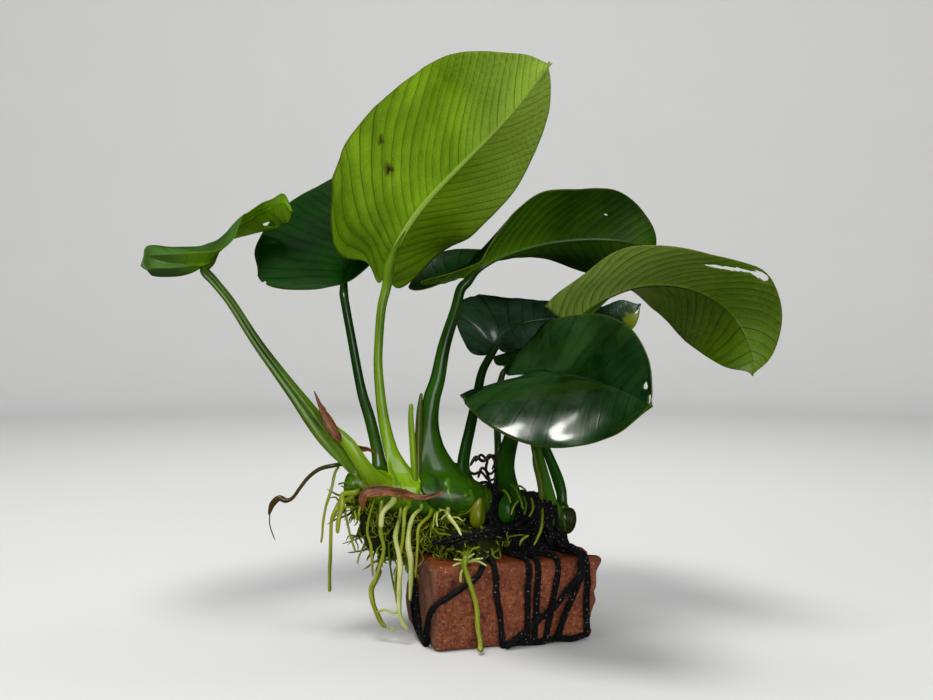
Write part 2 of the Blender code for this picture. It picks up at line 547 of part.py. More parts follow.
def build_scale(name, scale):
    """A dried scale: a ribbon with a pointed end, thickened evenly."""
    path = smooth_curve(scale["points"], np.linspace(0, 1, 3 * len(scale["points"])))
    across = unit(np.cross(np.gradient(path, axis=0), np.array(scale["facing"], float)))
    taper = np.sqrt(np.clip(1 - np.linspace(-1, 1, len(path)) ** 6, 0.04, 1))[:, None]
    half = 0.5 * scale["width"] * taper * across
    points = np.stack([path - half, path + half], axis=1).reshape(-1, 3) * MM
    faces = [(2 * i, 2 * i + 1, 2 * i + 3, 2 * i + 2) for i in range(len(path) - 1)]
    data = bpy.data.meshes.new(name)
    data.from_pydata(points.tolist(), [], faces)
    wall = place(name, data, "dried").modifiers.new("thickness", "SOLIDIFY")
    wall.thickness = SCALE_THICKNESS * MM
    wall.offset = 0


def build_tie(name, points, off):
    spots = off_stone(points, off)
    tube(name, spots, [YARN_RADIUS] * len(spots), "yarn")


def build_ties():
    """The yarn on the stone. Each upright tie comes over the stone's edge from the windings on top."""
    for face, ties in ((FRONT, FRONT_TIES), (BACK, BACK_TIES)):
        for name, (upper, lower) in ties.items():
            inset = face * (1 - STONE_EDGE / BACK)
            bend = TOP - STONE_EDGE
            points = [(upper, inset, TOP), (upper, face, TOP), (upper, face, bend), (lower, face, STONE_EDGE),
                      (lower, face, TIE_FOOT)]
            build_tie(name, points, TIE_OFF)
    for name, tie in OTHER_TIES.items():
        build_tie(name, tie["points"], tie["off"])


def main():
    clear_scene()
    bpy.context.scene.collection.children.link(bpy.data.collections.new("anubias_on_stone"))
    build_stone()
    build_rhizome()
    for name, leaf in LEAVES.items():
        build_leaf(name, leaf)
    for name, shoot in SHOOTS.items():
        points, radii = grown(shoot["seat"], shoot["points"], shoot["radii"], SHOOT_STEP)
        tube(name, points, radii, shoot["colour"])
    for number, (seat, points, radii) in enumerate(ROOTS, 1):
        points, radii = grown(seat, points, radii, ROOT_STEP)
        tube(f"root_{number:02d}", points, radii, "root", sides=1)
    for name, scale in SCALES.items():
        build_scale(name, scale)
    build_packing("moss", MOSS_SECTIONS, "moss")
    build_packing("tie_windings", WINDING_SECTIONS, "yarn")
    build_wrap()
    build_ties()


main()
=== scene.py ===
"""The looks of an anubias tied with black yarn to a piece of broken red brick.

Every piece is worked out in millimetres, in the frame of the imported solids: the origin is the middle of
the brick's underside, +Z is up, +X to the right and +Y away from the camera. MM turns them to metres.
"""

import math

import bpy
import numpy as np
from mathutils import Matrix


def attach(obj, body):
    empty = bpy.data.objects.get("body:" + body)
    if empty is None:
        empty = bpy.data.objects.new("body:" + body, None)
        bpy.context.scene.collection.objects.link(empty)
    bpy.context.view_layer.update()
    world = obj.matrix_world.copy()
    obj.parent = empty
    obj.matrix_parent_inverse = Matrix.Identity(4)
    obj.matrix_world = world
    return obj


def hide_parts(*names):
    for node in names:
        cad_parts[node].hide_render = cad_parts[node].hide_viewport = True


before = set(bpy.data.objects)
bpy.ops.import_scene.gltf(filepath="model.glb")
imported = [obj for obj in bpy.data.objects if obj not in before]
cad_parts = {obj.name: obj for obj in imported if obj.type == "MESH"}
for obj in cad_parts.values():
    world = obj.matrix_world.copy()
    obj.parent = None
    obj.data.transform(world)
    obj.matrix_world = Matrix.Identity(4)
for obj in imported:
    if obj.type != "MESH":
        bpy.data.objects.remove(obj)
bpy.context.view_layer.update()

MM = 0.001
TURN = 2 * math.pi

# --- The plant's form, as its solids have it ---

STONE_SIZE = np.array((58.0, 42.0, 28.5))
STONE_TURN = math.radians(17)
STONE_EDGE = 2.6
STONE_BREAK = 1.6

RHIZOME_PATH = (
    (-52, -9, 54), (-44, -7, 52), (-35, -4, 50), (-24, -1, 48.5), (-13, 1, 47),
    (-4, 5.5, 43.5), (7, 9.5, 40.5), (18, 11.5, 38.5), (27, 12.5, 37),
)
RHIZOME_RADII = (4.4, 6.2, 7.2, 7.8, 7.4, 6.4, 6.2, 6.4, 4.6)

BLADE_OUTLINE = (
    (0, 0), (-0.35, 0.07), (-0.85, 0.22), (-1.0, 0.45), (-0.62, 0.78), (0.02, 0.95), (0.22, 1.0),
    (0.42, 0.97), (0.62, 0.82), (0.80, 0.53), (0.92, 0.22), (0.975, 0.05), (1, 0),
)

# Each leaf: midrib, where the upper side faces at base and tip, then for the left and right half its width,
# basal lobe, the lobe's spread, rise and curl; droop of the lobes; seat, points and radii of the stalk; foot:
# the stretch of the creeping stem that its sheath clasps, as fractions of its length, the edges of that
# sheath round it, in degrees, and how high it reaches; channel: angle and depth of the stalk's groove.
LEAVES = {
    "far_left": dict(
        midrib=((-103, -11.5, 131.5), (-98, -6.5, 132.5), (-103.5, 37.5, 168), (-79.5, 23.5, 153.5)),
        up=((-0.2, -0.05, 1), (-0.4, 0.5, 0.75)), width=(32.5, 8), lobe=(16, 22), spread=(0.7, 0.9),
        rise=(-22, 24), curl=(70, -11), droop=-3.5,
        seat=(0.0, 97), stalk=((-54.5, -10, 63.5), (-62, -11.5, 73), (-69.5, -12.5, 83.5), (-77, -12.5, 93.5),
                                (-85, -12.5, 104.5), (-93.5, -12, 117.5), (-99.5, -12, 125)),
        radii=(3.8, 4.3, 4.0, 3.4, 2.5, 2.0, 1.7, 1.6, 1.7), foot=(0.0, 0.13, 20, 205, 17),
        channel=(250, 0.4)),
    "back_left": dict(
        midrib=((-59, 21.5, 126), (-58, 51.5, 150.5), (-48, 60.5, 170.5), (-52.5, 75, 178)),
        up=((-0.25, -0.75, 0.6), (0, 0.3, 0.95)), width=(36.5, 27), lobe=(5, 2.5), spread=(1.1, 0.8),
        rise=(23, 33), curl=(-11, -14), droop=1,
        seat=(0.15, 60), stalk=((-44.5, 3.5, 67.5), (-47, 6.5, 76), (-50.5, 10, 86.5), (-54.5, 14.5, 105),
                                (-57.5, 18, 119.5)),
        radii=(2.6, 2.3, 2.1, 2, 1.7, 1.6, 1.7), foot=(0.09, 0.21, 0, 105, 12)),
    "tall": dict(
        midrib=((-39, 0.5, 132.5), (-30.5, -19, 154), (-2, -28.5, 169), (14.5, -53, 189)),
        up=((-0.1, 0.95, 0.2), (0, 0.9, 0.4)), width=(27.5, 49), lobe=(11.5, 12), spread=(0.7, 1),
        rise=(43, 46), curl=(-18, 7), droop=1,
        seat=(0.225, 100), stalk=((-37, -5.5, 62.5), (-39.5, -5, 69), (-41.5, -4, 79.5), (-43, -2, 93.5),
                                 (-43, -1, 102.5), (-42, -0.5, 115.5), (-40, 0, 124.5)),
        radii=(4.6, 3.9, 2.8, 2.2, 1.8, 1.6, 1.6, 1.7, 1.9), foot=(0.165, 0.325, 50, 222, 17)),
    "arching": dict(
        midrib=((-12, 18.5, 129), (21.5, 29, 151.5), (61.5, 15, 140.5), (63, 33.5, 140)),
        up=((0.2, 0.25, 0.95), (-0.25, 0.95, 0.1)), width=(32, 29), lobe=(18, 18.5), spread=(0.9, 1),
        rise=(15, 11), curl=(51, -36), droop=-4,
        seat=(0.375, 92), stalk=((-25, 1, 64.5), (-25, 4.5, 79), (-22, 7, 90), (-19.5, 10, 102.5),
                                (-15.5, 14.5, 115.5), (-13.5, 17, 123.5)),
        radii=(5.4, 4.0, 3.6, 3.2, 2.6, 2.2, 1.9, 1.9), foot=(0.30, 0.59, 45, 228, 21)),
    "centre_dark": dict(
        midrib=((3, 40.5, 105.5), (11, 35, 119), (51, 42, 108), (58.5, 49.5, 118)),
        up=((0.45, -0.55, 0.7), (0, -0.1, 1)), width=(26.5, 12.5), lobe=(11.5, 4), spread=(0.7, 1),
        rise=(21, -19), curl=(-65, -26), droop=2,
        seat=(0.51, 70), stalk=((-12.5, 10, 59.5), (-10, 20, 70.5), (-7.4, 29, 81.5), (-5.2, 35, 91.5),
                                (-1.5, 39.5, 98.5)),
        radii=(2.8, 2.5, 2.2, 2, 1.8, 1.6, 1.6), foot=(0.45, 0.57, 20, 105, 10)),
    "small_middle": dict(
        midrib=((3.5, 11.5, 95), (22.5, 18, 99.5), (32, 10, 105.5), (41.5, 18, 107.5)),
        up=((0.1, -0.45, 0.9), (0.5, -0.7, 0.5)), width=(9, 17), lobe=(2, 2), spread=(1.3, 0.9),
        rise=(2, 9), curl=(-9, 10), droop=1.5,
        seat=(0.66, 75), stalk=((0.5, 13.5, 63), (0, 13, 82), (1.5, 12, 89.5)),
        radii=(1.8, 1.4, 1.3, 1.2, 1.1), foot=(0.63, 0.69, 40, 110, 7)),
    "front_glossy": dict(
        midrib=((10.5, -23.5, 93.5), (24.5, -46.5, 97), (45.5, -62.5, 84), (40.5, -75.5, 87)),
        up=((0, -0.15, 1), (-0.55, -0.5, 0.65)), width=(22.5, 32), lobe=(11.5, 26.5), spread=(0.9, 0.8),
        rise=(36, -7), curl=(12, -15), droop=6,
        seat=(0.70, 118), stalk=((2.5, -1, 57.5), (3, -5.5, 63.5), (4.5, -10.5, 70.5), (7, -17.5, 81)),
        radii=(3.8, 3.5, 3.3, 3, 2.4, 2), foot=(0.62, 0.78, 55, 185, 13)),
    "right_drooping": dict(
        midrib=((29, 4.5, 112), (54, -10, 139), (96, -4.5, 118), (90, -7, 91.5)),
        up=((-0.25, 0.25, 0.95), (-0.05, 0.65, 0.75)), width=(39.5, 27), lobe=(8, 2), spread=(1, 0.8),
        rise=(24, -1), curl=(-16, 14), droop=-0.5,
        seat=(0.88, 110), stalk=((16.5, 5.5, 56.5), (14, 3, 66), (13, -2.5, 79), (16, -5.5, 92.5),
                                 (21.5, -3.5, 104)),
        radii=(2.6, 2.2, 2, 1.9, 1.7, 1.6, 1.6), foot=(0.83, 0.94, 60, 215, 14)),
}

# Buds, sheaths and spent stalks: seat on the creeping stem, as the fraction of its length and the angle round
# it; points and radii; a foot as a leaf stalk has; and the colour's name.
SHOOTS = {
    "spent_stalk": dict(
        seat=(0.95, 75), points=((22.5, 14, 53.5), (18.5, 13.5, 63.5), (16, 13, 70.5), (14.5, 12.5, 76.5)),
        radii=(2.4, 2.4, 2, 1.6, 1.4, 1), foot=(0.92, 0.99, 30, 120, 9), colour="dark"),
    "spindle_bud": dict(
        seat=(0.11, 150), points=((-47, -15.5, 61), (-51.5, -16, 68), (-56, -16, 73), (-58.5, -16, 75.5)),
        radii=(2.6, 2.5, 2.5, 2.3, 1.5, 0.5), foot=(0.04, 0.20, 80, 222, 12), colour="pale"),
    "sheath_arching": dict(
        seat=None, points=((-28.4, -5, 52.5), (-28.6, -4.5, 58), (-28.7, -3, 65), (-28.5, -1.5, 72.2),
                           (-28.2, -0.5, 79.3), (-27.6, 0.5, 85.4)),
        radii=(1.4, 1.5, 1.4, 1.2, 0.6), colour="olive"),
    "sheath_split": dict(
        seat=None, points=((-29.2, -7.4, 52), (-29.8, -7.5, 58), (-30.2, -7, 63.6), (-30.6, -6, 69),
                           (-31.1, -5.5, 76), (-31, -5, 82)),
        radii=(1.1, 1.2, 1.2, 1.1, 0.8), colour="pale"),
    "sheath_right": dict(
        seat=None, points=((16.2, -0.5, 46.5), (15.2, 0, 53.5), (13.6, 0, 60), (13, 0.5, 65)),
        radii=(1.2, 1.3, 1.1, 0.5), colour="olive"),
    "yellow_bud": dict(
        seat=None, points=((-7.5, -6.5, 37.5), (-7.6, -6.8, 41), (-7.4, -6.6, 44.5), (-6.2, -6, 48.6)),
        radii=(2.4, 3.0, 2.5, 0.5), colour="yellow"),
    "green_bud": dict(
        seat=None, points=((3, -5, 39), (3, -5, 42), (3, -4.5, 46), (3.4, -4, 50)),
        radii=(2.4, 3.3, 3, 0.9), colour="dark"),
    "dying_stalk": dict(
        seat=None, points=((-54.5, -11, 61), (-57.5, -13, 60.8), (-62.3, -13, 59.6), (-66.2, -13, 56.8),
                           (-69.3, -13, 53), (-71.8, -13, 49.6), (-74.2, -13, 48.6), (-76.6, -13, 49.4),
                           (-79, -13, 47.2), (-80.1, -13.5, 43.5)),
        radii=(0.7, 0.8, 0.75, 0.7, 0.65, 0.65, 0.9, 1.1, 1.1, 0.4), colour="dried"),
}

# Roots: seat on the creeping stem, or None for one that comes out of the moss or the yarn; points; radii.
ROOTS = (
    ((0.32, 203), ((-29.8, -16, 43.2), (-31.1, -17, 38.5), (-31.2, -17.8, 33.9), (-30.3, -18.3, 29.2),
     (-30.2, -18.6, 23.5), (-30.7, -18.6, 15)), (0.8, 0.8, 0.95, 1.15, 1.1, 0.6)),
    ((0.27, 200), ((-32.8, -15, 45.3), (-33, -16.5, 41), (-33.5, -17, 34.6), (-35, -17.2, 27.1),
     (-35.7, -17.5, 20.2), (-35.2, -17.5, 13.7)), (0.9, 0.95, 0.7, 0.6, 0.5)),
    ((0.20, 195), ((-40, -16.5, 45.2), (-40.8, -17.5, 39.8)), (1.15, 1.1)),
    ((0.36, 212), ((-27.5, -17.5, 40.5), (-28.2, -19, 34.1), (-28.5, -19.6, 28.6),
     (-28.7, -20, 23.1)), (0.9, 0.7, 0.5, 0.4)),
    ((0.40, 205), ((-22.3, -14.5, 43.6), (-22.9, -16.5, 39)), (0.6, 0.35)),
    ((0.435, 203), ((-17.7, -15.5, 44.1), (-14.9, -18.5, 40.9), (-13, -21, 37.8)), (0.9, 0.9, 0.5)),
    ((0.245, 222), ((-35.9, -15, 37), (-34.7, -17.5, 30.9), (-33.9, -19, 25.4), (-34.1, -19.5, 19.7),
     (-34.4, -19.5, 14.2), (-34.2, -19.5, 10.1), (-32.9, -19.5, 7.2),
     (-31, -19, 5.2)), (0.6, 0.9, 1.1, 1.1, 1, 0.9, 0.7)),
    ((0.155, 214), ((-41.1, -15, 38.3), (-40, -15.3, 33.2), (-40.3, -15.5, 29.4), (-41.7, -15.7, 25.3),
     (-42.8, -16, 21.6), (-44.3, -16, 18.2), (-43.8, -16, 14), (-42.4, -16, 10.2), (-40.7, -16, 6.8),
     (-39, -16, 5.2)), (1.1, 0.9, 0.8, 0.85, 1.0, 1.1, 0.9, 0.7)),
    ((0.12, 216), ((-46, -14, 38.5), (-44.6, -14.3, 33.3), (-44.1, -14.5, 28.2),
     (-43.8, -14.5, 22.3)), (0.6, 0.5, 0.7, 0.4)),
    ((0.015, 214), ((-55.1, -13.5, 48.1), (-56.3, -14.5, 46.2), (-57.7, -15.2, 43.2), (-58.3, -15.5, 39.5),
     (-58.5, -15.7, 32.6), (-58.6, -16, 24.7), (-58.5, -16.3, 17.4)), (1.2, 1.2, 0.9, 0.75, 0.75, 0.75)),
    (None, ((-55.7, -12, 60.5), (-57, -13.5, 58.2), (-58, -15, 52.9), (-59.8, -15.5, 47.1),
     (-60.8, -15.8, 41.3), (-61.1, -16, 37.8), (-61.5, -16.3, 34.3)), (0.5, 0.6, 0.55, 0.5, 0.4)),
    ((0.03, 196), ((-54, -14.5, 51.1), (-54.4, -16, 47.2), (-55.3, -16.8, 42.5),
     (-55.8, -17, 37.7)), (1.2, 1.15, 1.05, 0.7)),
    ((0.095, 190), ((-47.9, -16.5, 46.9), (-48.5, -17, 43.2)), (0.6, 0.4)),
    (None, ((-10.7, -23, 33.1), (-11.7, -26.2, 31.1), (-12.1, -27, 28.6), (-10.9, -27, 25.2),
     (-9.1, -27, 19.7), (-8.1, -27, 14.2), (-7.3, -27.2, 8.6), (-6.7, -28.5, 3.5),
     (-6.8, -31, 1.6)), (0.9, 1.15, 1.1, 1, 1, 1, 1.1, 1.3)),
    (None, ((6.9, -18.5, 33.9), (7.5, -18, 35.5), (8.8, -17.5, 36.6),
     (10.4, -17.5, 37.4)), (0.35, 0.5, 0.45)),
    (None, ((15.8, -3.5, 44.4), (15.4, -9, 41.9), (14.7, -13, 38.8), (12.9, -15.5, 35.3),
     (11.8, -16.5, 33.6)), (0.5, 0.5, 0.45, 0.35)),
)

# Thin rootlets, sprigs and threads, without solids of their own: look, points, and radius at each end.
ROOTLETS = (
    ("green", ((-53.7, -14, 46.1), (-52.8, -14.5, 42.1), (-51.7, -15, 37.3), (-50.3, -15, 32.8),
     (-49.7, -15, 30.9)), (0.45, 0.35)),
    ("white", ((-42.2, -16.5, 10.7), (-39.4, -17, 11.5), (-35.9, -18.5, 10.9),
     (-33.9, -19.5, 12.5)), (0.45, 0.45)),
    ("white", ((-39.2, -16, 5.2), (-36.6, -17, 5.2), (-34, -18, 5.2)), (0.25, 0.2)),
    ("white", ((-38.4, -16, 5), (-37.6, -17, 4.3), (-35.5, -18, 4.2)), (0.2, 0.15)),
    ("white", ((-11.4, -25.5, 29.9), (-14.1, -26.5, 29.6), (-16.1, -27, 28.8)), (0.5, 0.35)),
    ("white", ((-11.4, -25.5, 29.9), (-13.5, -26.5, 30.8), (-15.7, -27, 31.2)), (0.45, 0.3)),
    ("white", ((-11.6, -25.5, 30.3), (-10.1, -26.5, 32), (-8.6, -27, 33.1)), (0.45, 0.3)),
    ("white", ((-11.4, -25.5, 29.9), (-8.5, -26.2, 30.9), (-5.6, -26.5, 31.4)), (0.5, 0.3)),
    ("white", ((-11.4, -25.5, 29.9), (-7.8, -26, 30.4), (-4.4, -26.4, 28.8)), (0.5, 0.35)),
    ("green", ((-11.1, -25, 30.5), (-12.8, -26, 33.1), (-14.6, -27, 33.9)), (0.4, 0.3)),
    ("green", ((-11.1, -25, 30.5), (-9.5, -26, 34.1), (-6.8, -27, 35.3)), (0.4, 0.3)),
    ("white", ((-12.3, -27, 28.3), (-13.2, -27.4, 26.3), (-13.3, -27.4, 23.5)), (0.35, 0.5)),
    ("dark", ((-38.5, -13, 34.8), (-38.1, -13.5, 28), (-37, -14, 21.1), (-35.5, -15, 14.4)), (0.4, 0.3)),
    ("dark", ((-55.9, -14.5, 54.5), (-53, -15, 55), (-49.9, -15.5, 53.8)), (0.35, 0.2)),
    ("dark", ((-54.9, -14, 53.8), (-52, -15, 53.1), (-49.2, -15.5, 54.7), (-47.7, -16, 53.4)), (0.3, 0.2)),
    ("dark", ((-55.6, -14, 45.8), (-52.7, -15, 45.3), (-49.5, -15.5, 46.7)), (0.3, 0.2)),
    ("white", ((-18.2, -15.5, 45), (-19.6, -17, 46), (-20.6, -18, 45.6)), (0.35, 0.2)),
    ("white", ((-17.3, -16, 44.4), (-18.9, -18, 44.1), (-20, -19, 43)), (0.35, 0.2)),
    ("white", ((-16.3, -17, 43.4), (-14.4, -19, 43.7), (-12.5, -20, 42.7)), (0.35, 0.2)),
    ("white", ((-21.3, -15, 44.9), (-21.6, -17.5, 42.6), (-21.2, -18.5, 40.4)), (0.4, 0.3)),
    ("dead", ((-10, 9, 57.8), (-7.8, 11, 60.9), (-5.1, 12, 59.3), (-2.5, 13, 61.4), (-0.7, 12, 58.9),
     (-1.8, 11, 56.1)), (0.45, 0.35)),
    ("dead", ((-8.1, 10, 59.2), (-5.9, 12, 61.6), (-3.6, 13, 59.9), (-1, 12, 61.4),
     (0.8, 11, 57.6)), (0.35, 0.3)),
    ("dead", ((-7.1, 8, 53.5), (-5.5, 10, 57), (-2.5, 11, 54.6), (-0.3, 10, 57)), (0.4, 0.3)),
    ("dead", ((-11.5, 8, 56.5), (-8.5, 9, 54.9), (-5.9, 10, 55.5), (-3, 9, 52.6),
     (-0.4, 8, 53.5)), (0.4, 0.3)),
    ("dead", ((-3.3, 12, 60.4), (-4, 12, 56), (-2.6, 10, 51.8), (-3.7, 8, 47.6)), (0.4, 0.3)),
    ("dead", ((-1.1, 10, 59.9), (-0, 9, 55.6), (-0.8, 7, 50.7), (0.6, 4, 46.8)), (0.4, 0.35)),
    ("dead", ((-17.8, 10, 56.2), (-15.6, 10.5, 58.4), (-13.3, 11, 56.8), (-10.7, 10, 59.2)), (0.4, 0.3)),
    ("dead", ((-79.8, -13, 44.6), (-79.9, -13, 40.7), (-79.1, -13, 37.6),
     (-77.9, -13, 34.6)), (0.14, 0.12)),
    ("green", ((1.6, -8, 51.8), (3.3, -9.5, 50), (4.3, -11, 47.4)), (0.45, 0.3)),
    ("dark", ((4.2, -6, 53.7), (6.2, -8.5, 51.6), (7.8, -10.5, 48), (8.5, -11.5, 45)), (0.6, 0.35)),
    ("dark", ((5.5, -8, 52.2), (7.5, -9.5, 53.1), (9.9, -10.5, 51.5)), (0.5, 0.3)),
    ("green", ((7.1, -10, 48.3), (5.3, -12, 46.5), (4.2, -13, 43.5)), (0.45, 0.3)),
    ("dark", ((8.7, -8, 49.4), (9.6, -10, 46.5), (8.8, -12, 43.4)), (0.5, 0.35)),
    ("green", ((11.8, -4, 48.4), (12.2, -8, 45.1), (10.6, -11, 42.5)), (0.5, 0.3)),
)

# Dried scales: the line along their middle, width, the way their flat side faces, and how much they narrow.
SCALES = {
    "dried_scale_front": dict(
        points=((-47, -19, 46.5), (-46, -19, 51.5), (-41, -17.5, 52.5), (-36, -16, 52), (-31, -14, 50.5),
                (-26, -13, 49.5), (-19, -12.5, 51.5)),
        width=3.0, facing=(0, -1, 0.3), narrow=0.5),
    "dried_scale_bud": dict(
        points=((-54.4, -18.4, 69.4), (-56.2, -19, 72.6), (-58.2, -19, 76), (-60.4, -18.6, 80),
                (-62.2, -18.2, 83.6), (-63.6, -18, 87)),
        width=2.8, facing=(0, -1, 0), narrow=0.85),
    "dried_scale_small": dict(
        points=((-50, -12.5, 67.4), (-47.6, -12.6, 66.6), (-45.6, -12.4, 66.4), (-43.4, -12, 65.2)),
        width=1.5, facing=(0, -1, 0), narrow=0.7),
}

# Packed growth under the creeping stem: fraction of its length, reach in front and behind, its underside.
MOSS_SECTIONS = (
    (0.06, 2.5, 7, 35.5), (0.11, 3, 9, 29.5), (0.18, 4, 10, 26.5), (0.26, 4.5, 10, 26.5), (0.33, 6, 10, 29),
    (0.40, 11, 10, 29), (0.47, 17, 10, 29), (0.54, 19, 9, 29), (0.60, 18, 8, 29),
)
WINDING_SECTIONS = (
    (0.63, 12, 5, 29), (0.70, 12, 7, 29), (0.77, 12, 7, 29), (0.84, 12, 7, 29), (0.92, 12, 7, 29),
    (0.98, 10, 7, 29),
)
# The arc round the creeping stem where it ends, in degrees, the number of its points, and the gap it leaves.
PACKING_ARC, PACKING_GAP = (232, 335, 7), 0.85
# How deep a stalk, a shoot or a root, and the edge of a sheath start in the creeping stem.
STALK_SUNK, SHOOT_SUNK, SHEATH_SUNK = 3.0, 2.0, 0.9

YARN_RADIUS = 1.0
TIE_OFF = YARN_RADIUS + 0.35
CROSSING_OFF = TIE_OFF + 2 * YARN_RADIUS + 0.35
LEFT_END, BACK, TOP = -STONE_SIZE[0] / 2, STONE_SIZE[1] / 2, STONE_SIZE[2]
FRONT = -BACK
TIE_FOOT, CROSSING_FOOT = 1.2, 2.2
TOP_RUN = 20  # how far an upright tie runs on top of the stone
# Each upright tie: where it comes out of the bundle on top, crosses the upper edge and ends at the lower one.
FRONT_TIES = {
    "tie_front_1": (-8, -8.5, -6), "tie_front_2": (-2, 3.8, 2.7), "tie_front_3": (3, 7.4, 5.6),
    "tie_front_4": (5.5, 14.8, 9.8), "tie_front_5": (16, 25.4, 25),
}
BACK_TIES = {"tie_back_1": (-4, -7, -5), "tie_back_2": (5, 5, 6), "tie_back_3": (11, 14, 13)}
# The other ties: how far each stands off the stone, and its route.
OTHER_TIES = {
    "tie_front_left": (TIE_OFF + 0.4, (
        (-9, -12, TOP), (-11.5, FRONT + 3, TOP), (-12.4, FRONT, TOP), (-14, FRONT, 25.6), (-19, FRONT, 22.4),
        (-25, FRONT, 18.8), (LEFT_END, FRONT, 16.4), (LEFT_END, -18.5, 12), (LEFT_END, -14.5, 5),
        (LEFT_END, -12.5, TIE_FOOT))),
    "tie_front_cross": (CROSSING_OFF, (
        (18, -11, TOP), (21.5, FRONT + 3, TOP), (22.6, FRONT, TOP), (21.5, FRONT, 23.4), (13, FRONT, 14),
        (-6, FRONT, 1.6))),
    "tie_front_low": (TIE_OFF + 0.1, (
        (-7, FRONT, 1.1), (0, FRONT, 2.0), (7, FRONT, 1.2), (14, FRONT, 2.2), (20, FRONT, 1.4),
        (25, FRONT, 2.4))),
    "tie_front_slant": (CROSSING_OFF - 0.5, (
        (24.2, FRONT, TOP), (22.4, FRONT, 23.8), (18.6, FRONT, 15.5), (16, FRONT, 10), (13.5, FRONT, 3.2),
        (13, FRONT, CROSSING_FOOT))),
    "tie_left": (TIE_OFF + 0.4, (
        (LEFT_END, 4, 23.4), (LEFT_END, 1, 12), (LEFT_END, -4, 2.6), (LEFT_END, -4, TIE_FOOT))),
    "tie_left_low": (TIE_OFF + 0.2, (
        (LEFT_END, 3, 17), (LEFT_END, 6, 11), (LEFT_END, 2, 5), (LEFT_END, -7, 1.8), (LEFT_END, -14, 1.2))),
}
# The turns round the creeping stem: the stretch of its length, their number and their arc in degrees.
WRAP_SPAN, WRAP_TURNS, WRAP_ARC = (0.735, 0.865), 11, (-20, 196)
# Loose strands: along the bundle on the stone, over the stem in a stretch of it, and over the moss in front.
BODY_STRANDS, STEM_STRANDS, MOSS_STRANDS = 70, 34, 9
STEM_WINDINGS = (0.60, 0.90)
OVER_MOSS = (
    (-22, -16.5, 34.5), (-15.2, -19, 36), (-8.4, -18.5, 37.5), (-1.4, -14, 38), (4, -9, 38), (10, -5, 36),
)

MOSS_TUFTS, TUFT_SHOOTS, LOOSE_TUFTS = 560, 3, 22
MOSS_LENGTH, MOSS_RADIUS, MOSS_BEND, MOSS_TAPER = 4.6, 0.48, 1.5, 0.55


# --- Numbers and curves ---

def unit(v):
    """Vectors brought to length 1."""
    return v / np.maximum(np.linalg.norm(v, axis=-1, keepdims=True), 1e-9)


def fade(low, high, x):
    """0 below low and 1 above high, with an S-shaped rise between."""
    f = np.clip((np.asarray(x, float) - low) / (high - low), 0, 1)
    return f * f * (3 - 2 * f)


def noise(points, size, seed):
    """Smooth random values about -1 to 1: random numbers on a lattice of cells of this size, blended between
    the cells' corners."""
    rng = np.random.default_rng(seed)
    order, value = rng.permutation(256), rng.uniform(-1, 1, 256)
    place = np.asarray(points, float) / size
    cell = np.floor(place).astype(int)
    f = place - cell
    f = f * f * (3 - 2 * f)
    total = 0
    for i, j, k in np.ndindex(2, 2, 2):
        row = order[(cell[..., 0] + i) % 256] + cell[..., 1] + j
        key = order[(order[row % 256] + cell[..., 2] + k) % 256]
        total = total + value[key] * (
            abs(1 - i - f[..., 0]) * abs(1 - j - f[..., 1]) * abs(1 - k - f[..., 2]))
    return total


def noise_along(run, size, seed, across=0, up=0):
    """The same random values at distances along a line, which lies across and up in their lattice."""
    return noise(np.stack(np.broadcast_arrays(run, across, up), -1), size, seed)


def smooth_curve(points, t):
    """Points of a Catmull-Rom curve through the given ones, at fractions t of its run."""
    points = np.asarray(points, float)
    if points.ndim == 1:
        points = points[:, None]
    spans = len(points) - 1
    padded = np.vstack([2 * points[0] - points[1], points, 2 * points[-1] - points[-2]])
    place_on = np.clip(np.asarray(t, float), 0, 1) * spans
    i = np.minimum(place_on.astype(int), spans - 1)
    f = (place_on - i)[..., None]
    a, b, c, d = padded[i], padded[i + 1], padded[i + 2], padded[i + 3]
    return 0.5 * (2 * b + (c - a) * f + (2 * a - 5 * b + 4 * c - d) * f**2 + (3 * b - a - 3 * c + d) * f**3)


def run_of(points):
    """Distance along each line of points (..., k, 3), from its start."""
    steps = np.linalg.norm(np.diff(points, axis=-2), axis=-1)
    return np.concatenate([np.zeros((*steps.shape[:-1], 1)), np.cumsum(steps, axis=-1)], axis=-1)


def at_distance(distance, run, rows):
    """Rows of three values, given at the distances run, at other distances."""
    return np.stack([np.interp(distance, run, rows[:, k]) for k in range(3)], -1)


def blunt(s, power, least=0.02):
    """1 along the middle of a run s from 0 to 1, and drawn in to nearly 0 at both its ends."""
    return np.sqrt(np.clip(1 - (2 * s - 1) ** power, least, 1))


def refined(points, radii, spacing):
    """A smooth run of points through the given ones, about spacing apart, and the radii there."""
    run = run_of(points)
    count = max(int(round(run[-1] / spacing)), 2) + 1
    fractions = np.interp(np.linspace(0, run[-1], count), run, np.linspace(0, 1, len(points)))
    return smooth_curve(points, fractions), smooth_curve(radii, fractions)[:, 0]


def along_rhizome(t, step):
    """The way along the creeping stem, from a step before the fraction t of its length to a step after it."""
    before, after = np.maximum(t - step, 0), np.minimum(t + step, 1)
    return smooth_curve(RHIZOME_PATH, after) - smooth_curve(RHIZOME_PATH, before)


def rhizome_frame(t):
    """Centre, radius, horizontal way to the back and upward way of the creeping stem at fractions t."""
    t = np.asarray(t, float)
    along = unit(along_rhizome(t, 0.01))
    back = unit(np.cross((0, 0, 1), along))
    return smooth_curve(RHIZOME_PATH, t), smooth_curve(RHIZOME_RADII, t)[..., 0], back, np.cross(along, back)


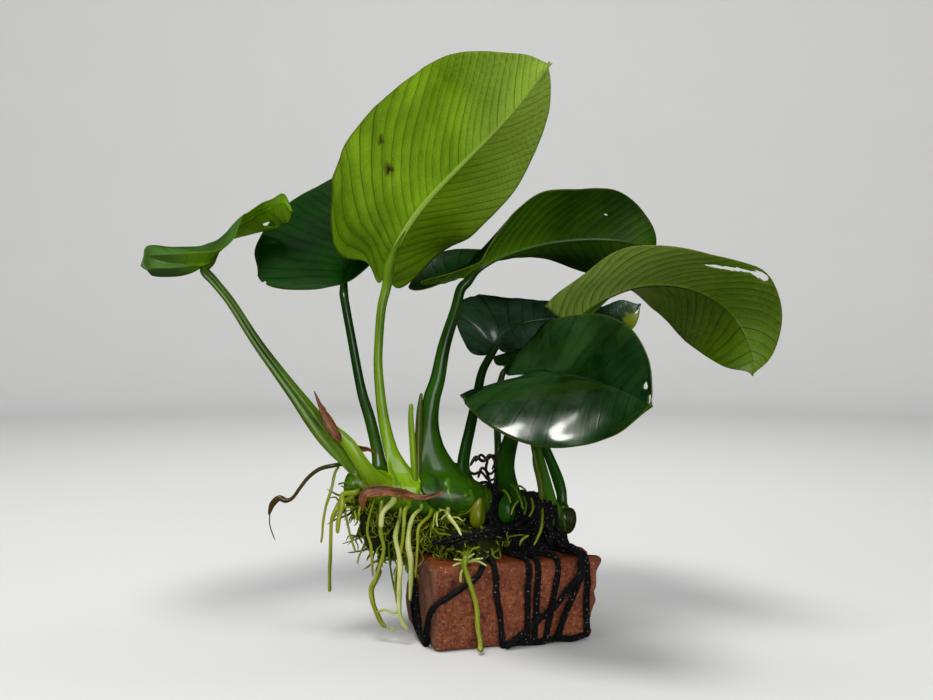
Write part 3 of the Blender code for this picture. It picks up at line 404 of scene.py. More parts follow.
def on_rhizome(t, degrees, off):
    """Points that stand off the creeping stem's skin, at an angle round it: 90 on top, 180 in front."""
    centre, radius, back, up = rhizome_frame(t)
    angle = np.radians(degrees)[..., None]
    return centre + (radius + off)[..., None] * (np.cos(angle) * back + np.sin(angle) * up)


def off_rhizome(points, off):
    """Points that lie in the creeping stem brought out, with a soft bend, to stand off its skin."""
    t = np.linspace(0, 1, 240)
    centres, radii = smooth_curve(RHIZOME_PATH, t), smooth_curve(RHIZOME_RADII, t)[:, 0]
    flat, soft = points.reshape(-1, 3), 0.5
    nearest = (np.linalg.norm(flat[:, None] - centres, axis=-1) - radii).argmin(1)
    away = flat - centres[nearest]
    distance = np.linalg.norm(away, axis=-1)
    least = radii[nearest] + np.broadcast_to(off, points.shape[:-1]).ravel()
    wanted = least + soft * np.log1p(np.exp(np.clip((distance - least) / soft, -30, 30)))
    return (centres[nearest] + away / distance[:, None] * wanted[:, None]).reshape(points.shape)


def seat_on_rhizome(t, degrees):
    """A point of the creeping stem's skin, and the way straight out of it."""
    centre, skin = rhizome_frame(t)[0], on_rhizome(t, degrees, 0)
    step = 0.02
    along = unit(on_rhizome(min(t + step, 1), degrees, 0) - on_rhizome(max(t - step, 0), degrees, 0))
    outward = skin - centre
    return skin, unit(outward - (outward @ along) * along)


def grown(seat, points, radii, spacing, sunk):
    """Points and radii of a smooth stem. One with a seat starts sunk under the creeping stem's skin."""
    if seat is None:
        return refined(points, radii, spacing)
    skin, outward = seat_on_rhizome(*seat)
    neck = skin + outward * (1.7 + 0.35 * radii[0])
    spread = radii[1:] if len(radii) > 2 else radii
    return refined([skin - outward * sunk, neck, *points], [radii[0], *spread], spacing)


# --- Meshes ---

ASKEW = (0.13, -1, 0.07)  # a way that no path follows, towards which the first point of its rings lies


def frames(paths, side):
    """Ways along, sideways and outwards of paths (..., k, 3), the sideways one carried on without twist."""
    along = unit(np.gradient(paths, axis=-2))
    side = np.broadcast_to(np.asarray(side, float), along[..., 0, :].shape)
    sides = []
    for k in range(paths.shape[-2]):
        ahead = along[..., k, :]
        side = unit(side - (side * ahead).sum(-1, keepdims=True) * ahead)
        sides.append(side)
    side = np.stack(sides, -2)
    return along, side, np.cross(along, side)


def tube_rings(paths, radius, sides, side=ASKEW):
    """Rings of points round paths (n, k, 3), square to them. radius is a number for each point of a path, or
    for each point of each ring (n, k, sides). Angle 0 of a ring is its sideways way."""
    n, k = paths.shape[:2]
    radius = np.asarray(radius, float).reshape(n, k, -1) * np.ones(sides)
    _, across, out = frames(paths, side)
    angle = np.arange(sides) / sides * TURN
    ring = np.cos(angle)[:, None] * across[..., None, :] + np.sin(angle)[:, None] * out[..., None, :]
    return paths[..., None, :] + radius[..., None] * ring


def end_fans(rows, columns):
    """Three-sided faces that close a grid of rings at both ends, round two points that follow the rings."""
    c = np.arange(columns)
    d = (c + 1) % columns
    first, last_ring = np.full(columns, rows * columns), (rows - 1) * columns
    start, end = np.stack([first, d, c], -1), np.stack([first + 1, last_ring + c, last_ring + d], -1)
    return np.concatenate([start, end])


def closed_rings(rings):
    """Closed tubes through rings of points (n, k, sides, 3), with a point in the middle of both ends.

    Returns points, four-sided faces, three-sided faces, and for each point the distance along its tube,
    the fraction of the way round and the number of its tube.
    """
    n, k, sides = rings.shape[:3]
    middles = rings.mean(axis=2)
    each = k * sides + 2
    points = np.concatenate([rings.reshape(n, -1, 3), middles[:, :1], middles[:, -1:]], axis=1).reshape(-1, 3)
    run = run_of(middles)
    distance = np.concatenate([np.repeat(run, sides, axis=1), run[:, :1], run[:, -1:]], axis=1).reshape(-1)
    around = np.tile(np.concatenate([np.tile(np.arange(sides) / sides, k), [0, 0]]), n)
    shift = (np.arange(n) * each)[:, None, None]
    quads, ends = grid_faces(k, sides, wrap=True) + shift, end_fans(k, sides) + shift
    return points, quads.reshape(-1, 4), ends.reshape(-1, 3), distance, around, np.repeat(np.arange(n), each)


def tubes(paths, radius, sides, side=ASKEW):
    """Closed tubes along one path (k, 3) or several (n, k, 3), with what closed_rings returns."""
    paths = np.asarray(paths, float)
    if paths.ndim == 2:
        paths = paths[None]
    return closed_rings(tube_rings(paths, radius, sides, side))


def clasping(path, shape, foot, sunk, side):
    """Rings of a stem whose foot spreads in a sheath over the creeping stem.

    The sheath starts at a curve on the stem's skin, a round in its length and angle, and each of its lines
    bends from there, as a cubic curve, into the stalk's own ring at its height. Where it would pass
    through the stem it lies on it, as a skin that starts with a lip. Its rings and the stalk's are then
    smoothed into each other.
    """
    low, high, back, front, height = foot
    sides = shape.shape[1]
    rings = tube_rings(path[None], shape[None], sides, side)[0]
    run = run_of(path) - sunk
    top = int(np.searchsorted(run, height))
    angle = np.arange(sides) / sides * TURN
    t = np.clip((low + high) / 2 + (high - low) / 2 * np.cos(angle), 0, 1)
    start = on_rhizome(t, (back + front) / 2 - (front - back) / 2 * np.sin(angle), -SHEATH_SUNK + 0 * t)
    ahead = unit(path[top + 1] - path[top - 1])
    inner = path[int(np.searchsorted(run, 0.35 * height))]
    end = rings[top]
    first, second = 0.6 * start + 0.4 * inner, end - 0.5 * height * ahead
    s = np.linspace(0, 1, 30)[:-1, None, None]
    sheath = (1 - s) ** 3 * start + 3 * s * (1 - s) ** 2 * first + 3 * s**2 * (1 - s) * second + s**3 * end
    lip = -SHEATH_SUNK + 1.5 * SHEATH_SUNK * fade(0, 0.11, s[..., 0])
    joined = np.concatenate([off_rhizome(sheath, lip), rings[top:]])
    at, span, passes = len(s), 9, 40
    for _ in range(passes):
        near = joined[at - span:at + span + 1]
        joined[at - span + 1:at + span] = (near[:-2] + 2 * near[1:-1] + near[2:]) / 4
    return joined


def rounded_ends(run, radius, start=True, end=True):
    """A tube's radii drawn in over the last radius of its length, as the end of a ball is."""
    run, radius = np.asarray(run), np.asarray(radius, float).copy()
    for wanted, distance in ((start, run), (end, run[-1] - run)):
        if wanted:
            x = np.clip(distance / np.maximum(radius, 1e-6), 0, 1)
            radius *= np.sqrt(np.clip(1 - (1 - x) ** 2, 0.002, 1))
    return radius


def closed_sheet(grid, thickness, keep=None, lift=None):
    """A sheet with two skins and a wall along each edge that only one kept cell has.

    grid (rows, columns, 3) is the middle of the sheet. Each skin stands half the thickness off it, along
    the cross product of the ways along its rows and columns. lift (upper, lower) moves a skin further out.
    """
    rows, columns = grid.shape[:2]
    out = unit(np.cross(np.gradient(grid, axis=0), np.gradient(grid, axis=1)))
    half = 0.5 * np.broadcast_to(thickness, (rows, columns))
    above, below = lift if lift is not None else (0, 0)
    points = np.concatenate([(grid + out * (half + above)[..., None]).reshape(-1, 3),
                             (grid - out * (half + below)[..., None]).reshape(-1, 3)])
    index = np.arange(rows * columns).reshape(rows, columns)
    cells = np.stack([index[:-1, :-1], index[1:, :-1], index[1:, 1:], index[:-1, 1:]], -1)
    cells = cells.reshape(-1, 4) if keep is None else cells[keep]
    edges = np.concatenate([cells[:, [i, (i + 1) % 4]] for i in range(4)])
    _, which, count = np.unique(np.sort(edges, axis=1), axis=0, return_inverse=True, return_counts=True)
    border = edges[count[which.reshape(-1)] == 1]
    n = rows * columns
    walls = np.stack([border[:, 0], border[:, 0] + n, border[:, 1] + n, border[:, 1]], -1)
    lower = np.r_[np.zeros(len(cells), int), np.ones(len(cells), int), np.ones(len(walls), int)]
    return points, np.concatenate([cells, cells[:, ::-1] + n, walls]), lower


def grid_faces(rows, columns, wrap=False):
    """Four-sided faces of a grid of points, joined round from the last column to the first if wrap is set."""
    r, c = np.meshgrid(np.arange(rows - 1), np.arange(columns if wrap else columns - 1), indexing="ij")
    d = (c + 1) % columns
    corners = r * columns + c, r * columns + d, (r + 1) * columns + d, (r + 1) * columns + c
    return np.stack(corners, -1).reshape(-1, 4)


def run_map(distance, across):
    """The UV map that a pattern along a piece follows: mm along it and across it, in units of 100 mm."""
    return {"run": np.stack([distance, across], -1) / 100}


def add_piece(name, points, faces, materials, nodes=(), fields=None, maps=None, finish=None):
    """Makes the mesh of a piece, in mm, that stands for its CAD nodes and rides on the one body.

    faces is a list of arrays, each of faces with as many corners as it has columns. fields are numbers and
    maps are pairs (a UV map) for each point. finish gives the number of each face's material.
    """
    points = np.asarray(points, float)
    used = np.unique(np.concatenate([f.ravel() for f in faces]))
    place_of = np.zeros(len(points), int)
    place_of[used] = np.arange(len(used))
    faces = [place_of[f] for f in faces]
    data = bpy.data.meshes.new(name)
    data.from_pydata((points[used] * MM).tolist(), [], [corner for f in faces for corner in f.tolist()])
    data.polygons.foreach_set("use_smooth", np.ones(len(data.polygons), bool))
    corners = np.concatenate([f.ravel() for f in faces])
    for field, values in (fields or {}).items():
        made = data.attributes.new(field, "FLOAT", "POINT")
        made.data.foreach_set("value", np.asarray(values, np.float32)[used])
    for label, pairs in (maps or {}).items():
        made = data.uv_layers.new(name=label)
        made.data.foreach_set("uv", np.asarray(pairs, np.float32)[used][corners].ravel())
    for material in materials:
        data.materials.append(material)
    if finish is not None:
        data.polygons.foreach_set("material_index", np.asarray(finish, np.int32))
    data.update()
    obj = bpy.data.objects.new(name, data)
    bpy.context.scene.collection.objects.link(obj)
    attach(obj, "root")
    if nodes:
        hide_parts(*nodes)


# --- Materials ---

def linear(colour):
    """The linear red, green, blue and alpha of an sRGB hex value."""
    parts = [int(colour[i:i + 2], 16) / 255 for i in (1, 3, 5)]
    return (*(c / 12.92 if c <= 0.04045 else ((c + 0.055) / 1.055) ** 2.4 for c in parts), 1)


def add(tree, kind, inputs=None, **settings):
    """Adds a shader node. inputs gives a value for an input, or the node or the output to link to it."""
    made = tree.nodes.new("ShaderNode" + kind)
    for name, value in settings.items():
        setattr(made, name, value)
    for key, value in (inputs or {}).items():
        if isinstance(value, bpy.types.Node):
            value = value.outputs[0]
        if isinstance(value, bpy.types.NodeSocket):
            tree.links.new(value, made.inputs[key])
        else:
            made.inputs[key].default_value = linear(value) if isinstance(value, str) else value
    return made


def new_material(name):
    """An empty material: its node tree, the shader that its nodes lead to, and the place on the piece."""
    made = bpy.data.materials.new(name)
    made.use_nodes = True
    tree = made.node_tree
    return made, tree, tree.nodes["Principled BSDF"], add(tree, "TexCoord").outputs["Object"]


def painted(tree, colour, *layers):
    """A colour with others laid over it.

    Each layer is what it follows, the values of that where it starts to show and where it is full, how
    much it covers then, and its colour.
    """
    for follows, start, full, cover, paint in layers:
        amount = add(tree, "MapRange", {0: follows, 1: start, 2: full, 3: 0, 4: cover})
        colour = add(tree, "MixRGB", {0: amount, 1: colour, 2: paint})
    return colour


def settle(tree, shader, **inputs):
    """Gives the shader's inputs their values or their nodes."""
    for name, value in inputs.items():
        socket = shader.inputs[name.replace("_", " ").title().replace("Ior", "IOR")]
        if isinstance(value, bpy.types.Node):
            tree.links.new(value.outputs[0], socket)
        else:
            socket.default_value = linear(value) if isinstance(value, str) else value


def blade_finish(name, colours, roughness, coat, vein_depth, look, beyond=None):
    """Living leaf skin: waxy, with side veins that sweep to the tip and a fine net between them.

    The veins map holds the place along the midrib where a vein starts, and the distance from the midrib,
    both in units of 100 mm. Strong veins stand 4 mm apart, not all as strong, with fainter ones between.
    beyond is the colour of its far part, and where along X that starts and is full; on some leaves that
    colour is a painted sheen.
    """
    made, tree, shader, spot = new_material(name)
    base, light, vein, rib = colours
    rib_here, hollow_shade, stain, margin = (add(tree, "Attribute", attribute_name=field).outputs["Fac"]
                                       for field in ("rib", "hollow_shade", "stain", "margin"))
    place = add(tree, "SeparateXYZ", {0: add(tree, "UVMap", uv_map="veins")})
    wander = add(tree, "TexNoise", {"Vector": spot, "Scale": 70, "Detail": 3})
    start = add(tree, "Math", {0: wander, 1: 0.014, 2: place.outputs[0]}, operation="MULTIPLY_ADD")
    lines = 0.0
    for spacing, low, weight in ((0.040, 0.41, 1.0), (0.020, 0.43, 0.35), (0.010, 0.42, 0.16)):
        number = add(tree, "Math", {0: start, 1: 1 / spacing}, operation="MULTIPLY")
        cycle = add(tree, "Math", {0: number}, operation="FRACT")
        middle = add(tree, "Math", {0: cycle, 1: 0.5}, operation="SUBTRACT")
        off = add(tree, "Math", {0: middle}, operation="ABSOLUTE")
        strength = add(tree, "TexNoise", {"W": number, "Scale": 0.8, "Detail": 1}, noise_dimensions="1D")
        varied = add(tree, "MapRange", {0: strength, 1: 0.3, 2: 0.7, 3: 0.55 * weight, 4: weight})
        line = add(tree, "MapRange", {0: off, 1: low, 2: 0.5, 3: 0.0, 4: varied},
                   interpolation_type="SMOOTHSTEP")
        lines = add(tree, "Math", {0: lines, 1: line}, operation="MAXIMUM")
    # the net of the finest veins, about 1 mm wide
    cells = add(tree, "TexVoronoi", {"Vector": spot, "Scale": 850}, feature="DISTANCE_TO_EDGE")
    net = add(tree, "MapRange", {0: cells, 1: 0.0, 2: 0.10, 3: 0.3, 4: 0.0})
    clear = add(tree, "MapRange", {0: rib_here, 1: 0.0, 2: 0.5, 3: 1.0, 4: 0.0})
    both = add(tree, "Math", {0: lines, 1: net}, operation="MAXIMUM")
    marks = add(tree, "Math", {0: both, 1: clear}, operation="MULTIPLY")
    patches = add(tree, "TexNoise", {"Vector": spot, "Scale": 38, "Detail": 5, "Roughness": 0.6})
    # light patches: on the centre_dark and front_glossy upper sides a painted sheen, elsewhere the skin's own
    # paler tone
    colour = painted(tree, base, (patches, 0.36, 0.68, 1, light))
    # beyond: on the tall and right_drooping undersides a painted sheen
    if beyond:
        colour = painted(tree, colour, (add(tree, "SeparateXYZ", {0: spot}), *beyond[1:], 1, beyond[0]))
    # hollow_shade: painted shade in the hollow along each vein, in the veins' colour
    colour = painted(tree, colour, (hollow_shade, 0, 1, 1, vein), (marks, 0, 1, 0.9, vein),
                     (rib_here, 0, 1, 1, rib), (stain, 0, 1, 1, look["spots"]),
                     (margin, 0, 1, look["edge"], "#4E4A10"))
    dull = add(tree, "TexNoise", {"Vector": spot, "Scale": 130, "Detail": 4})
    rough = add(tree, "MapRange", {0: dull, 1: 0.3, 2: 0.7, 3: roughness[0], 4: roughness[1]})
    soft = add(tree, "Math", {0: patches, 1: 0.25}, operation="MULTIPLY")
    height = add(tree, "Math", {0: marks, 1: -vein_depth, 2: soft}, operation="MULTIPLY_ADD")
    bump = add(tree, "Bump", {"Height": height, "Distance": 0.0004, "Strength": 0.6})
    # a skin without a coat of water shines less by itself too
    shine = np.interp(coat, (0, 0.1, 0.2), (0.08, 0.25, 0.5))
    settle(tree, shader, base_color=colour, roughness=rough, ior=1.33, specular_ior_level=shine,
           coat_weight=coat, coat_roughness=look["blur"], normal=bump)
    return made


def stem_finish(name, low, high, streak, reach=40):
    """Living stalk, root or bud skin: smooth and moist, with fine streaks along it. low is its colour at the
    start and high the colour reach mm further on."""
    made, tree, shader, spot = new_material(name)
    run = add(tree, "UVMap", uv_map="run")
    streaks = add(tree, "TexNoise", {
        "Vector": add(tree, "Mapping", {"Vector": run, "Scale": (4, 34, 1)}),
        "Scale": 1.0, "Detail": 4, "Roughness": 0.6}, noise_dimensions="2D")
    colour = painted(tree, low, (add(tree, "SeparateXYZ", {0: run}), 0, reach / 100, 1, high),
                     (streaks, 0.42, 0.60, 0.9, streak))
    patches = add(tree, "TexNoise", {"Vector": spot, "Scale": 160, "Detail": 4})
    rough = add(tree, "MapRange", {0: patches, 1: 0.3, 2: 0.7, 3: 0.22, 4: 0.42})
    height = add(tree, "Math", {0: streaks, 1: patches}, operation="ADD")
    bump = add(tree, "Bump", {"Height": height, "Distance": 0.00025, "Strength": 0.5})
    settle(tree, shader, base_color=colour, roughness=rough, ior=1.34, coat_weight=0.25, coat_roughness=0.1,
           normal=bump)
    return made


def rhizome_finish():
    """Skin of the living creeping stem: smooth and moist, light green where it grows, dark further back and
    brown at its old end, with paler ring scars."""
    made, tree, shader, spot = new_material("creeping stem skin")
    way = add(tree, "SeparateXYZ", {0: add(tree, "UVMap", uv_map="run")})
    patches = add(tree, "TexNoise", {"Vector": spot, "Scale": 120, "Detail": 5, "Roughness": 0.6})
    scar = add(tree, "Attribute", attribute_name="scar").outputs["Fac"]
    colour = painted(tree, "#33600A", (patches, 0.35, 0.65, 1, "#557A02"), (way, 0.34, 0.60, 1, "#123004"),
                     (way, 0.83, 0.90, 1, "#2E220C"), (scar, 0, 1, 1, "#5E6E1A"))
    bump = add(tree, "Bump", {"Height": patches, "Distance": 0.0005, "Strength": 0.5})
    settle(tree, shader, base_color=colour, roughness=0.3, ior=1.42, coat_weight=0.35, coat_roughness=0.1,
           normal=bump)
    return made


def brick_finish():
    """Fired clay brick, broken, wet on top: gritty, with specks of dark cinder, rust and pale sand, and
    painted shade inside the pits on the front.
    """
    made, tree, shader, spot = new_material("fired clay brick, broken")
    skin, damp, pit_shade = (add(tree, "Attribute", attribute_name=field).outputs["Fac"]
                       for field in ("skin", "damp", "pit_shade"))
    clay = add(tree, "TexNoise", {"Vector": spot, "Scale": 95, "Detail": 8, "Roughness": 0.68})
    grit = add(tree, "TexNoise", {"Vector": spot, "Scale": 900, "Detail": 4, "Roughness": 0.75})
    sand = add(tree, "TexVoronoi", {"Vector": spot, "Scale": 560})
    # the last layer, pit_shade, is painted shade inside the front pits
    colour = painted(tree, "#562411", (clay, 0.32, 0.70, 1, "#864627"), (grit, 0.52, 0.70, 0.6, "#A87450"),
                     (grit, 0.46, 0.36, 0.7, "#2E0E08"), (skin, 0, 1, 1, "#694230"),
                     (damp, 0, 1, 1, "#6E3208"), (sand, 0.12, 0.07, 1, "#C89C84"), (pit_shade, 0, 1, 1, "#3A0A08"))
    rough = add(tree, "MapRange", {0: damp, 1: 0.0, 2: 1.0, 3: 0.86, 4: 0.35})
    height = add(tree, "Math", {0: grit, 1: 0.8, 2: clay}, operation="MULTIPLY_ADD")
    bump = add(tree, "Bump", {"Height": height, "Distance": 0.0009, "Strength": 0.75})
    settle(tree, shader, base_color=colour, roughness=rough, ior=1.42, normal=bump)
    return made


def yarn_finish():
    """Black knitting yarn, twisted from loose fibres: matt black, with small wet glints on its strands where
    it is smoother, and pale specks painted in as glints.
    """
    made, tree, shader, spot = new_material("black yarn, wet")
    run = add(tree, "Mapping", {"Vector": add(tree, "UVMap", uv_map="run"), "Scale": (40, 14, 1),
                                "Rotation": (0, 0, 0.6)})
    fibre = add(tree, "TexNoise", {"Vector": run, "Scale": 3.0, "Detail": 6, "Roughness": 0.7},
                noise_dimensions="2D")
    fluff = add(tree, "TexNoise", {"Vector": spot, "Scale": 1500, "Detail": 3})
    # pale specks: painted glints
    painted_glints = add(tree, "TexVoronoi", {"Vector": spot, "Scale": 820})
    colour = painted(tree, "#010103", (fibre, 0.4, 0.75, 1, "#0C0C12"), (painted_glints, 0.17, 0.12, 0.55, "#B0B2BA"))
    wet = add(tree, "MapRange", {0: fluff, 1: 0.56, 2: 0.64, 3: 0.8, 4: 0.10})
    height = add(tree, "Math", {0: fibre, 1: fluff}, operation="ADD")
    bump = add(tree, "Bump", {"Height": height, "Distance": 0.0008, "Strength": 1.0})
    settle(tree, shader, base_color=colour, roughness=wet, ior=1.40, normal=bump)
    return made


def moss_finish():
    """Water moss, living: soft short shoots, moist, each a little greener or yellower than the next, over a
    packed body whose near-black colour is painted shade.
    """
    made, tree, shader, spot = new_material("water moss")
    shade, end = (add(tree, "Attribute", attribute_name=field).outputs["Fac"] for field in ("shade", "end"))
    patches = add(tree, "TexNoise", {"Vector": spot, "Scale": 220, "Detail": 3})
    # its near-black base: painted shade on the packed body, and the own dark tone of many shoots
    colour = painted(tree, "#060900", (shade, 0, 1, 1, "#6C7E00"), (end, 0, 1, 0.6, "#8C9430"),
                     (patches, 0.5, 0.75, 0.5, "#060900"))
    bump = add(tree, "Bump", {"Height": patches, "Distance": 0.0003, "Strength": 0.4})
    settle(tree, shader, base_color=colour, roughness=0.75, specular_ior_level=0.12, normal=bump)
    return made


def dried_finish():
    """Dried leaf scale: thin brown papery skin with fine ribs along it, rust in the light, olive in spots."""
    made, tree, shader, spot = new_material("dried leaf scale")
    run = add(tree, "Mapping", {"Vector": add(tree, "UVMap", uv_map="run"), "Scale": (10, 60, 1)})
    ribs = add(tree, "TexNoise", {"Vector": run, "Scale": 1.6, "Detail": 5, "Roughness": 0.65},
               noise_dimensions="2D")
    patches = add(tree, "TexNoise", {"Vector": spot, "Scale": 150, "Detail": 5})
    colour = painted(tree, "#3E1A04", (ribs, 0.35, 0.7, 1, "#8A4E14"), (patches, 0.5, 0.72, 1, "#4E3A0A"))
    bump = add(tree, "Bump", {"Height": ribs, "Distance": 0.0004, "Strength": 0.8})
    settle(tree, shader, base_color=colour, roughness=0.5, ior=1.5, normal=bump)
    return made


def board_finish():
    """Painted board, the studio's floor and wall: matt and pale, with a very faint mottle."""
    made, tree, shader, spot = new_material("painted studio board")
    mottle = add(tree, "TexNoise", {"Vector": spot, "Scale": 9, "Detail": 3})
    colour = painted(tree, "#CFCFCD", (mottle, 0.3, 0.7, 0.25, "#D2D2D2"))
    settle(tree, shader, base_color=colour, roughness=0.75)
    return made


# --- Leaves ---

BLADE_ROWS, BLADE_COLUMNS = 130, 40  # columns on each side of the midrib
VEIN_SPACING = 4.0

# Looks of each blade. upper, lower: colours of that side: its base, light patches (on the centre_dark and
# front_glossy upper sides a painted sheen), veins and midrib. swell: how much it swells between its veins, in
# mm. sweep: how a vein bends away, at once and more towards the margin, on the right half and on the left.
# fan:
# how much of that the veins at the base and at the tip show. hollow_shade: how dark the painted shade in the
# hollow along each vein is. rough: how rough the upper side is, from and to. coats: of the upper and the
# lower
# side. beyond: the underside's colour on its far part, and where along X that starts and is full; on tall and
# right_drooping a painted sheen. depth: of the upper side's veins. spots: colour of its stains. edge:
# strength
# of its pale edge. blur: of the coat. ripple: depth of small ripples, in mm.
PLAIN_BLADE = dict(
    sweep=((0.2, 0.9), (0.2, 0.9)), beyond=None, depth=0.5, spots="#2A1606", edge=0.5, blur=0.05, ripple=0.05)
UNDERSIDE_ROUGH, UNDERSIDE_DEPTH = (0.34, 0.52), -0.35
BLADE_LOOKS = {
    "far_left": dict(
        upper=("#33551A", "#456A2A", "#264410", "#4E7030"),
        lower=("#4A7000", "#5E8604", "#325200", "#668210"),
        swell=0.12, fan=(-0.1, 1.4), hollow_shade=0.1, rough=(0.30, 0.45), coats=(0.3, 0.1), edge=0.15,
        beyond=("#35561C", -0.104, -0.112)),
    "back_left": dict(
        upper=("#021E00", "#0C3600", "#011400", "#062402"),
        lower=("#2C4A06", "#3A5C0A", "#1C3604", "#4A641C"),
        swell=0.08, fan=(-0.2, 1.4), hollow_shade=0.0, rough=(0.36, 0.5), coats=(0.0, 0.1), depth=0.2, edge=0.2),
    "tall": dict(
        upper=("#24500A", "#306410", "#184006", "#4E7A22"),
        lower=("#486600", "#6C8E10", "#1C3600", "#849C3C"),
        swell=0.24, sweep=((0.55, 1.5), (0.55, 1.5)), fan=(0.15, 1.3), hollow_shade=0.34, rough=(0.30, 0.5),
        # beyond: a painted sheen over the underside's right part
        coats=(0.3, 0.12), beyond=("#86A03C", -0.016, 0.024)),
    "arching": dict(
        upper=("#011C00", "#062E02", "#011400", "#0A3004"),
        lower=("#1C3A00", "#345600", "#081E00", "#244604"),
        swell=0.30, sweep=((0.9, 1.2), (0.3, 0.9)), fan=(0.3, 1.0), hollow_shade=0.5, rough=(0.30, 0.45),
        coats=(0.2, 0.15), beyond=("#4C7400", 0.026, 0.002)),
    "centre_dark": dict(
        # upper side's light patches: a painted grey sheen
        upper=("#041C0A", "#2C4832", "#031600", "#1A321E"),
        lower=("#4E5E08", "#5E6E10", "#3A4A04", "#66741C"),
        swell=0.12, fan=(-0.1, 1.3), hollow_shade=0.2, rough=(0.20, 0.38), coats=(0.7, 0.1), spots="#5E6A0A",
        edge=0.2, blur=0.2, ripple=0.3),
    "small_middle": dict(
        upper=("#041C04", "#0A2A08", "#021402", "#0C2C0C"),
        lower=("#2E4A0A", "#3C5C10", "#1E3606", "#4A6420"),
        swell=0.06, fan=(-0.1, 1.3), hollow_shade=0.1, rough=(0.20, 0.36), coats=(0.6, 0.1)),
    "front_glossy": dict(
        # upper side's light patches: a painted grey-green sheen
        upper=("#021A00", "#20401E", "#011000", "#062006"),
        lower=("#2E4A06", "#3C5C0A", "#1E3604", "#4E6820"),
        swell=0.0, fan=(-0.2, 1.4), hollow_shade=0.1, rough=(0.16, 0.3), coats=(1.0, 0.1), depth=0.08, edge=0.35,
        blur=0.11, ripple=0.20),
    "right_drooping": dict(
        upper=("#123C06", "#1C4E0C", "#0C3004", "#2A5A16"),
        lower=("#405A00", "#5A780A", "#142800", "#142200"),
        swell=0.22, sweep=((0.9, 1.3), (0.15, 0.8)), fan=(0.4, 1.0), hollow_shade=0.36, rough=(0.25, 0.4),
        # beyond: a painted sheen over the underside's left part
        coats=(0.4, 0.15), beyond=("#728A32", 0.078, 0.034)),
}

# Where a blade's edge passes, as seen from the front: how far a change reaches, in mm, then for each point
# its row, counted from the blade's base, its side, and the x and z there. One without x and z stays put.
RIGHT, RIB, LEFT = 0, BLADE_COLUMNS, 2 * BLADE_COLUMNS
EDGE_SOFTENING = 0.05
BLADE_EDGES = {
    "right_drooping": (
        (11, ((50, RIGHT, 17, 115.5), (40, RIGHT, 20, 113.5), (60, RIGHT, 28.5, 126.5),
            (70, RIGHT, 46.5, 136), (75, RIGHT, 58.5, 135.5), (80, RIGHT, 70.5, 133), (85, RIGHT, 81, 131),
            (90, RIGHT, 91.5, 127.5), (100, RIGHT, 99.5, 110), (110, RIGHT, 95.5, 96.5),
            (60, LEFT, 52.5, 125), (70, LEFT, 59.5, 119.5), (80, LEFT, 66.5, 112.5), (90, LEFT, 72, 104),
            (100, LEFT, 76.5, 98.5), (110, LEFT, 83, 94), (30, RIB), (0, RIB), (125, RIB))),
    ),
    "arching": (
        (12, ((70, RIGHT, 10, 154), (75, RIGHT, 17.5, 158.5), (80, RIGHT, 26, 159.5),
            (85, RIGHT, 34.5, 160.5), (90, RIGHT, 43, 161), (100, RIGHT, 56.5, 154),
            (110, RIGHT, 62.5, 145), (20, RIB), (90, RIB))),
    ),
    "centre_dark": (
        (8, ((100, RIGHT, 53, 109), (106, RIGHT, 56.5, 109), (111, RIGHT, 59, 112.5),
            (116, RIGHT, 59.5, 116.5), (10, LEFT, -1, 99.5), (12, RIGHT, 2, 100), (20, RIGHT, 5.5, 99.5),
            (50, RIB), (100, RIB), (118, RIB), (60, LEFT), (80, LEFT))),
    ),
    "front_glossy": (
        (11, ((40, RIGHT, -13, 85.5), (50, RIGHT, -12, 85), (60, RIGHT, -7, 79.5), (80, RIGHT, 9.5, 72.5),
            (100, RIGHT, 31, 76), (110, RIGHT, 38, 81.5), (20, LEFT, 2.5, 91.5), (28, LEFT, 4.5, 95.5),
            (34, LEFT, 7.5, 100.5), (39, LEFT, 10.5, 104), (45, LEFT, 13, 107), (55, LEFT, 17, 111),
            (20, RIB), (24, RIGHT), (80, LEFT, 38, 110), (90, LEFT, 41.5, 104), (100, LEFT, 43, 96),
            (0, RIB), (60, RIB), (100, RIB))),
    ),
    "tall": (
        (11, ((110, RIGHT, 8.5, 194.5), (100, RIGHT, -2, 198.5), (60, RIGHT, -56, 179.5),
            (54, RIGHT, -60.5, 171), (47, RIGHT, -63, 158), (40, RIGHT, -63, 147.5),
            (33, RIGHT, -60, 137.5), (24, RIGHT, -52.5, 134.5), (16, RIGHT, -46, 134),
            (80, LEFT, 6, 157.5), (50, LEFT, -21, 137.5), (90, LEFT, 12.5, 169.5),
            (60, LEFT, -11.5, 141.5), (20, LEFT, -39, 125), (30, LEFT, -36, 124), (0, RIB), (40, RIB),
            (80, RIB))),
        (5, ((12, RIGHT, -43.5, 125), (24, RIGHT), (18, RIGHT, -47, 132), (33, RIGHT), (0, RIB))),
    ),
    "far_left": (
        (9, ((114, RIGHT, -80.5, 160), (100, RIGHT, -86, 158.5), (93, RIGHT, -90, 156.5),
            (86, RIGHT, -93, 152.5), (60, LEFT, -128.5, 134), (70, LEFT, -130.5, 139.5),
            (50, LEFT, -126.5, 130), (100, LEFT), (0, RIB), (60, RIB))),
        (4.5, ((110, LEFT, -82, 150), (114, RIGHT), (121, LEFT, -79, 152.5), (102, LEFT, -86, 149),
            (94, LEFT))),
    ),
    "back_left": (
        (12, ((50, LEFT, -90.5, 128.5), (60, LEFT, -94.5, 138), (40, LEFT, -86.5, 125),
            (70, LEFT, -93.5, 147.5), (30, LEFT))),
    ),
}

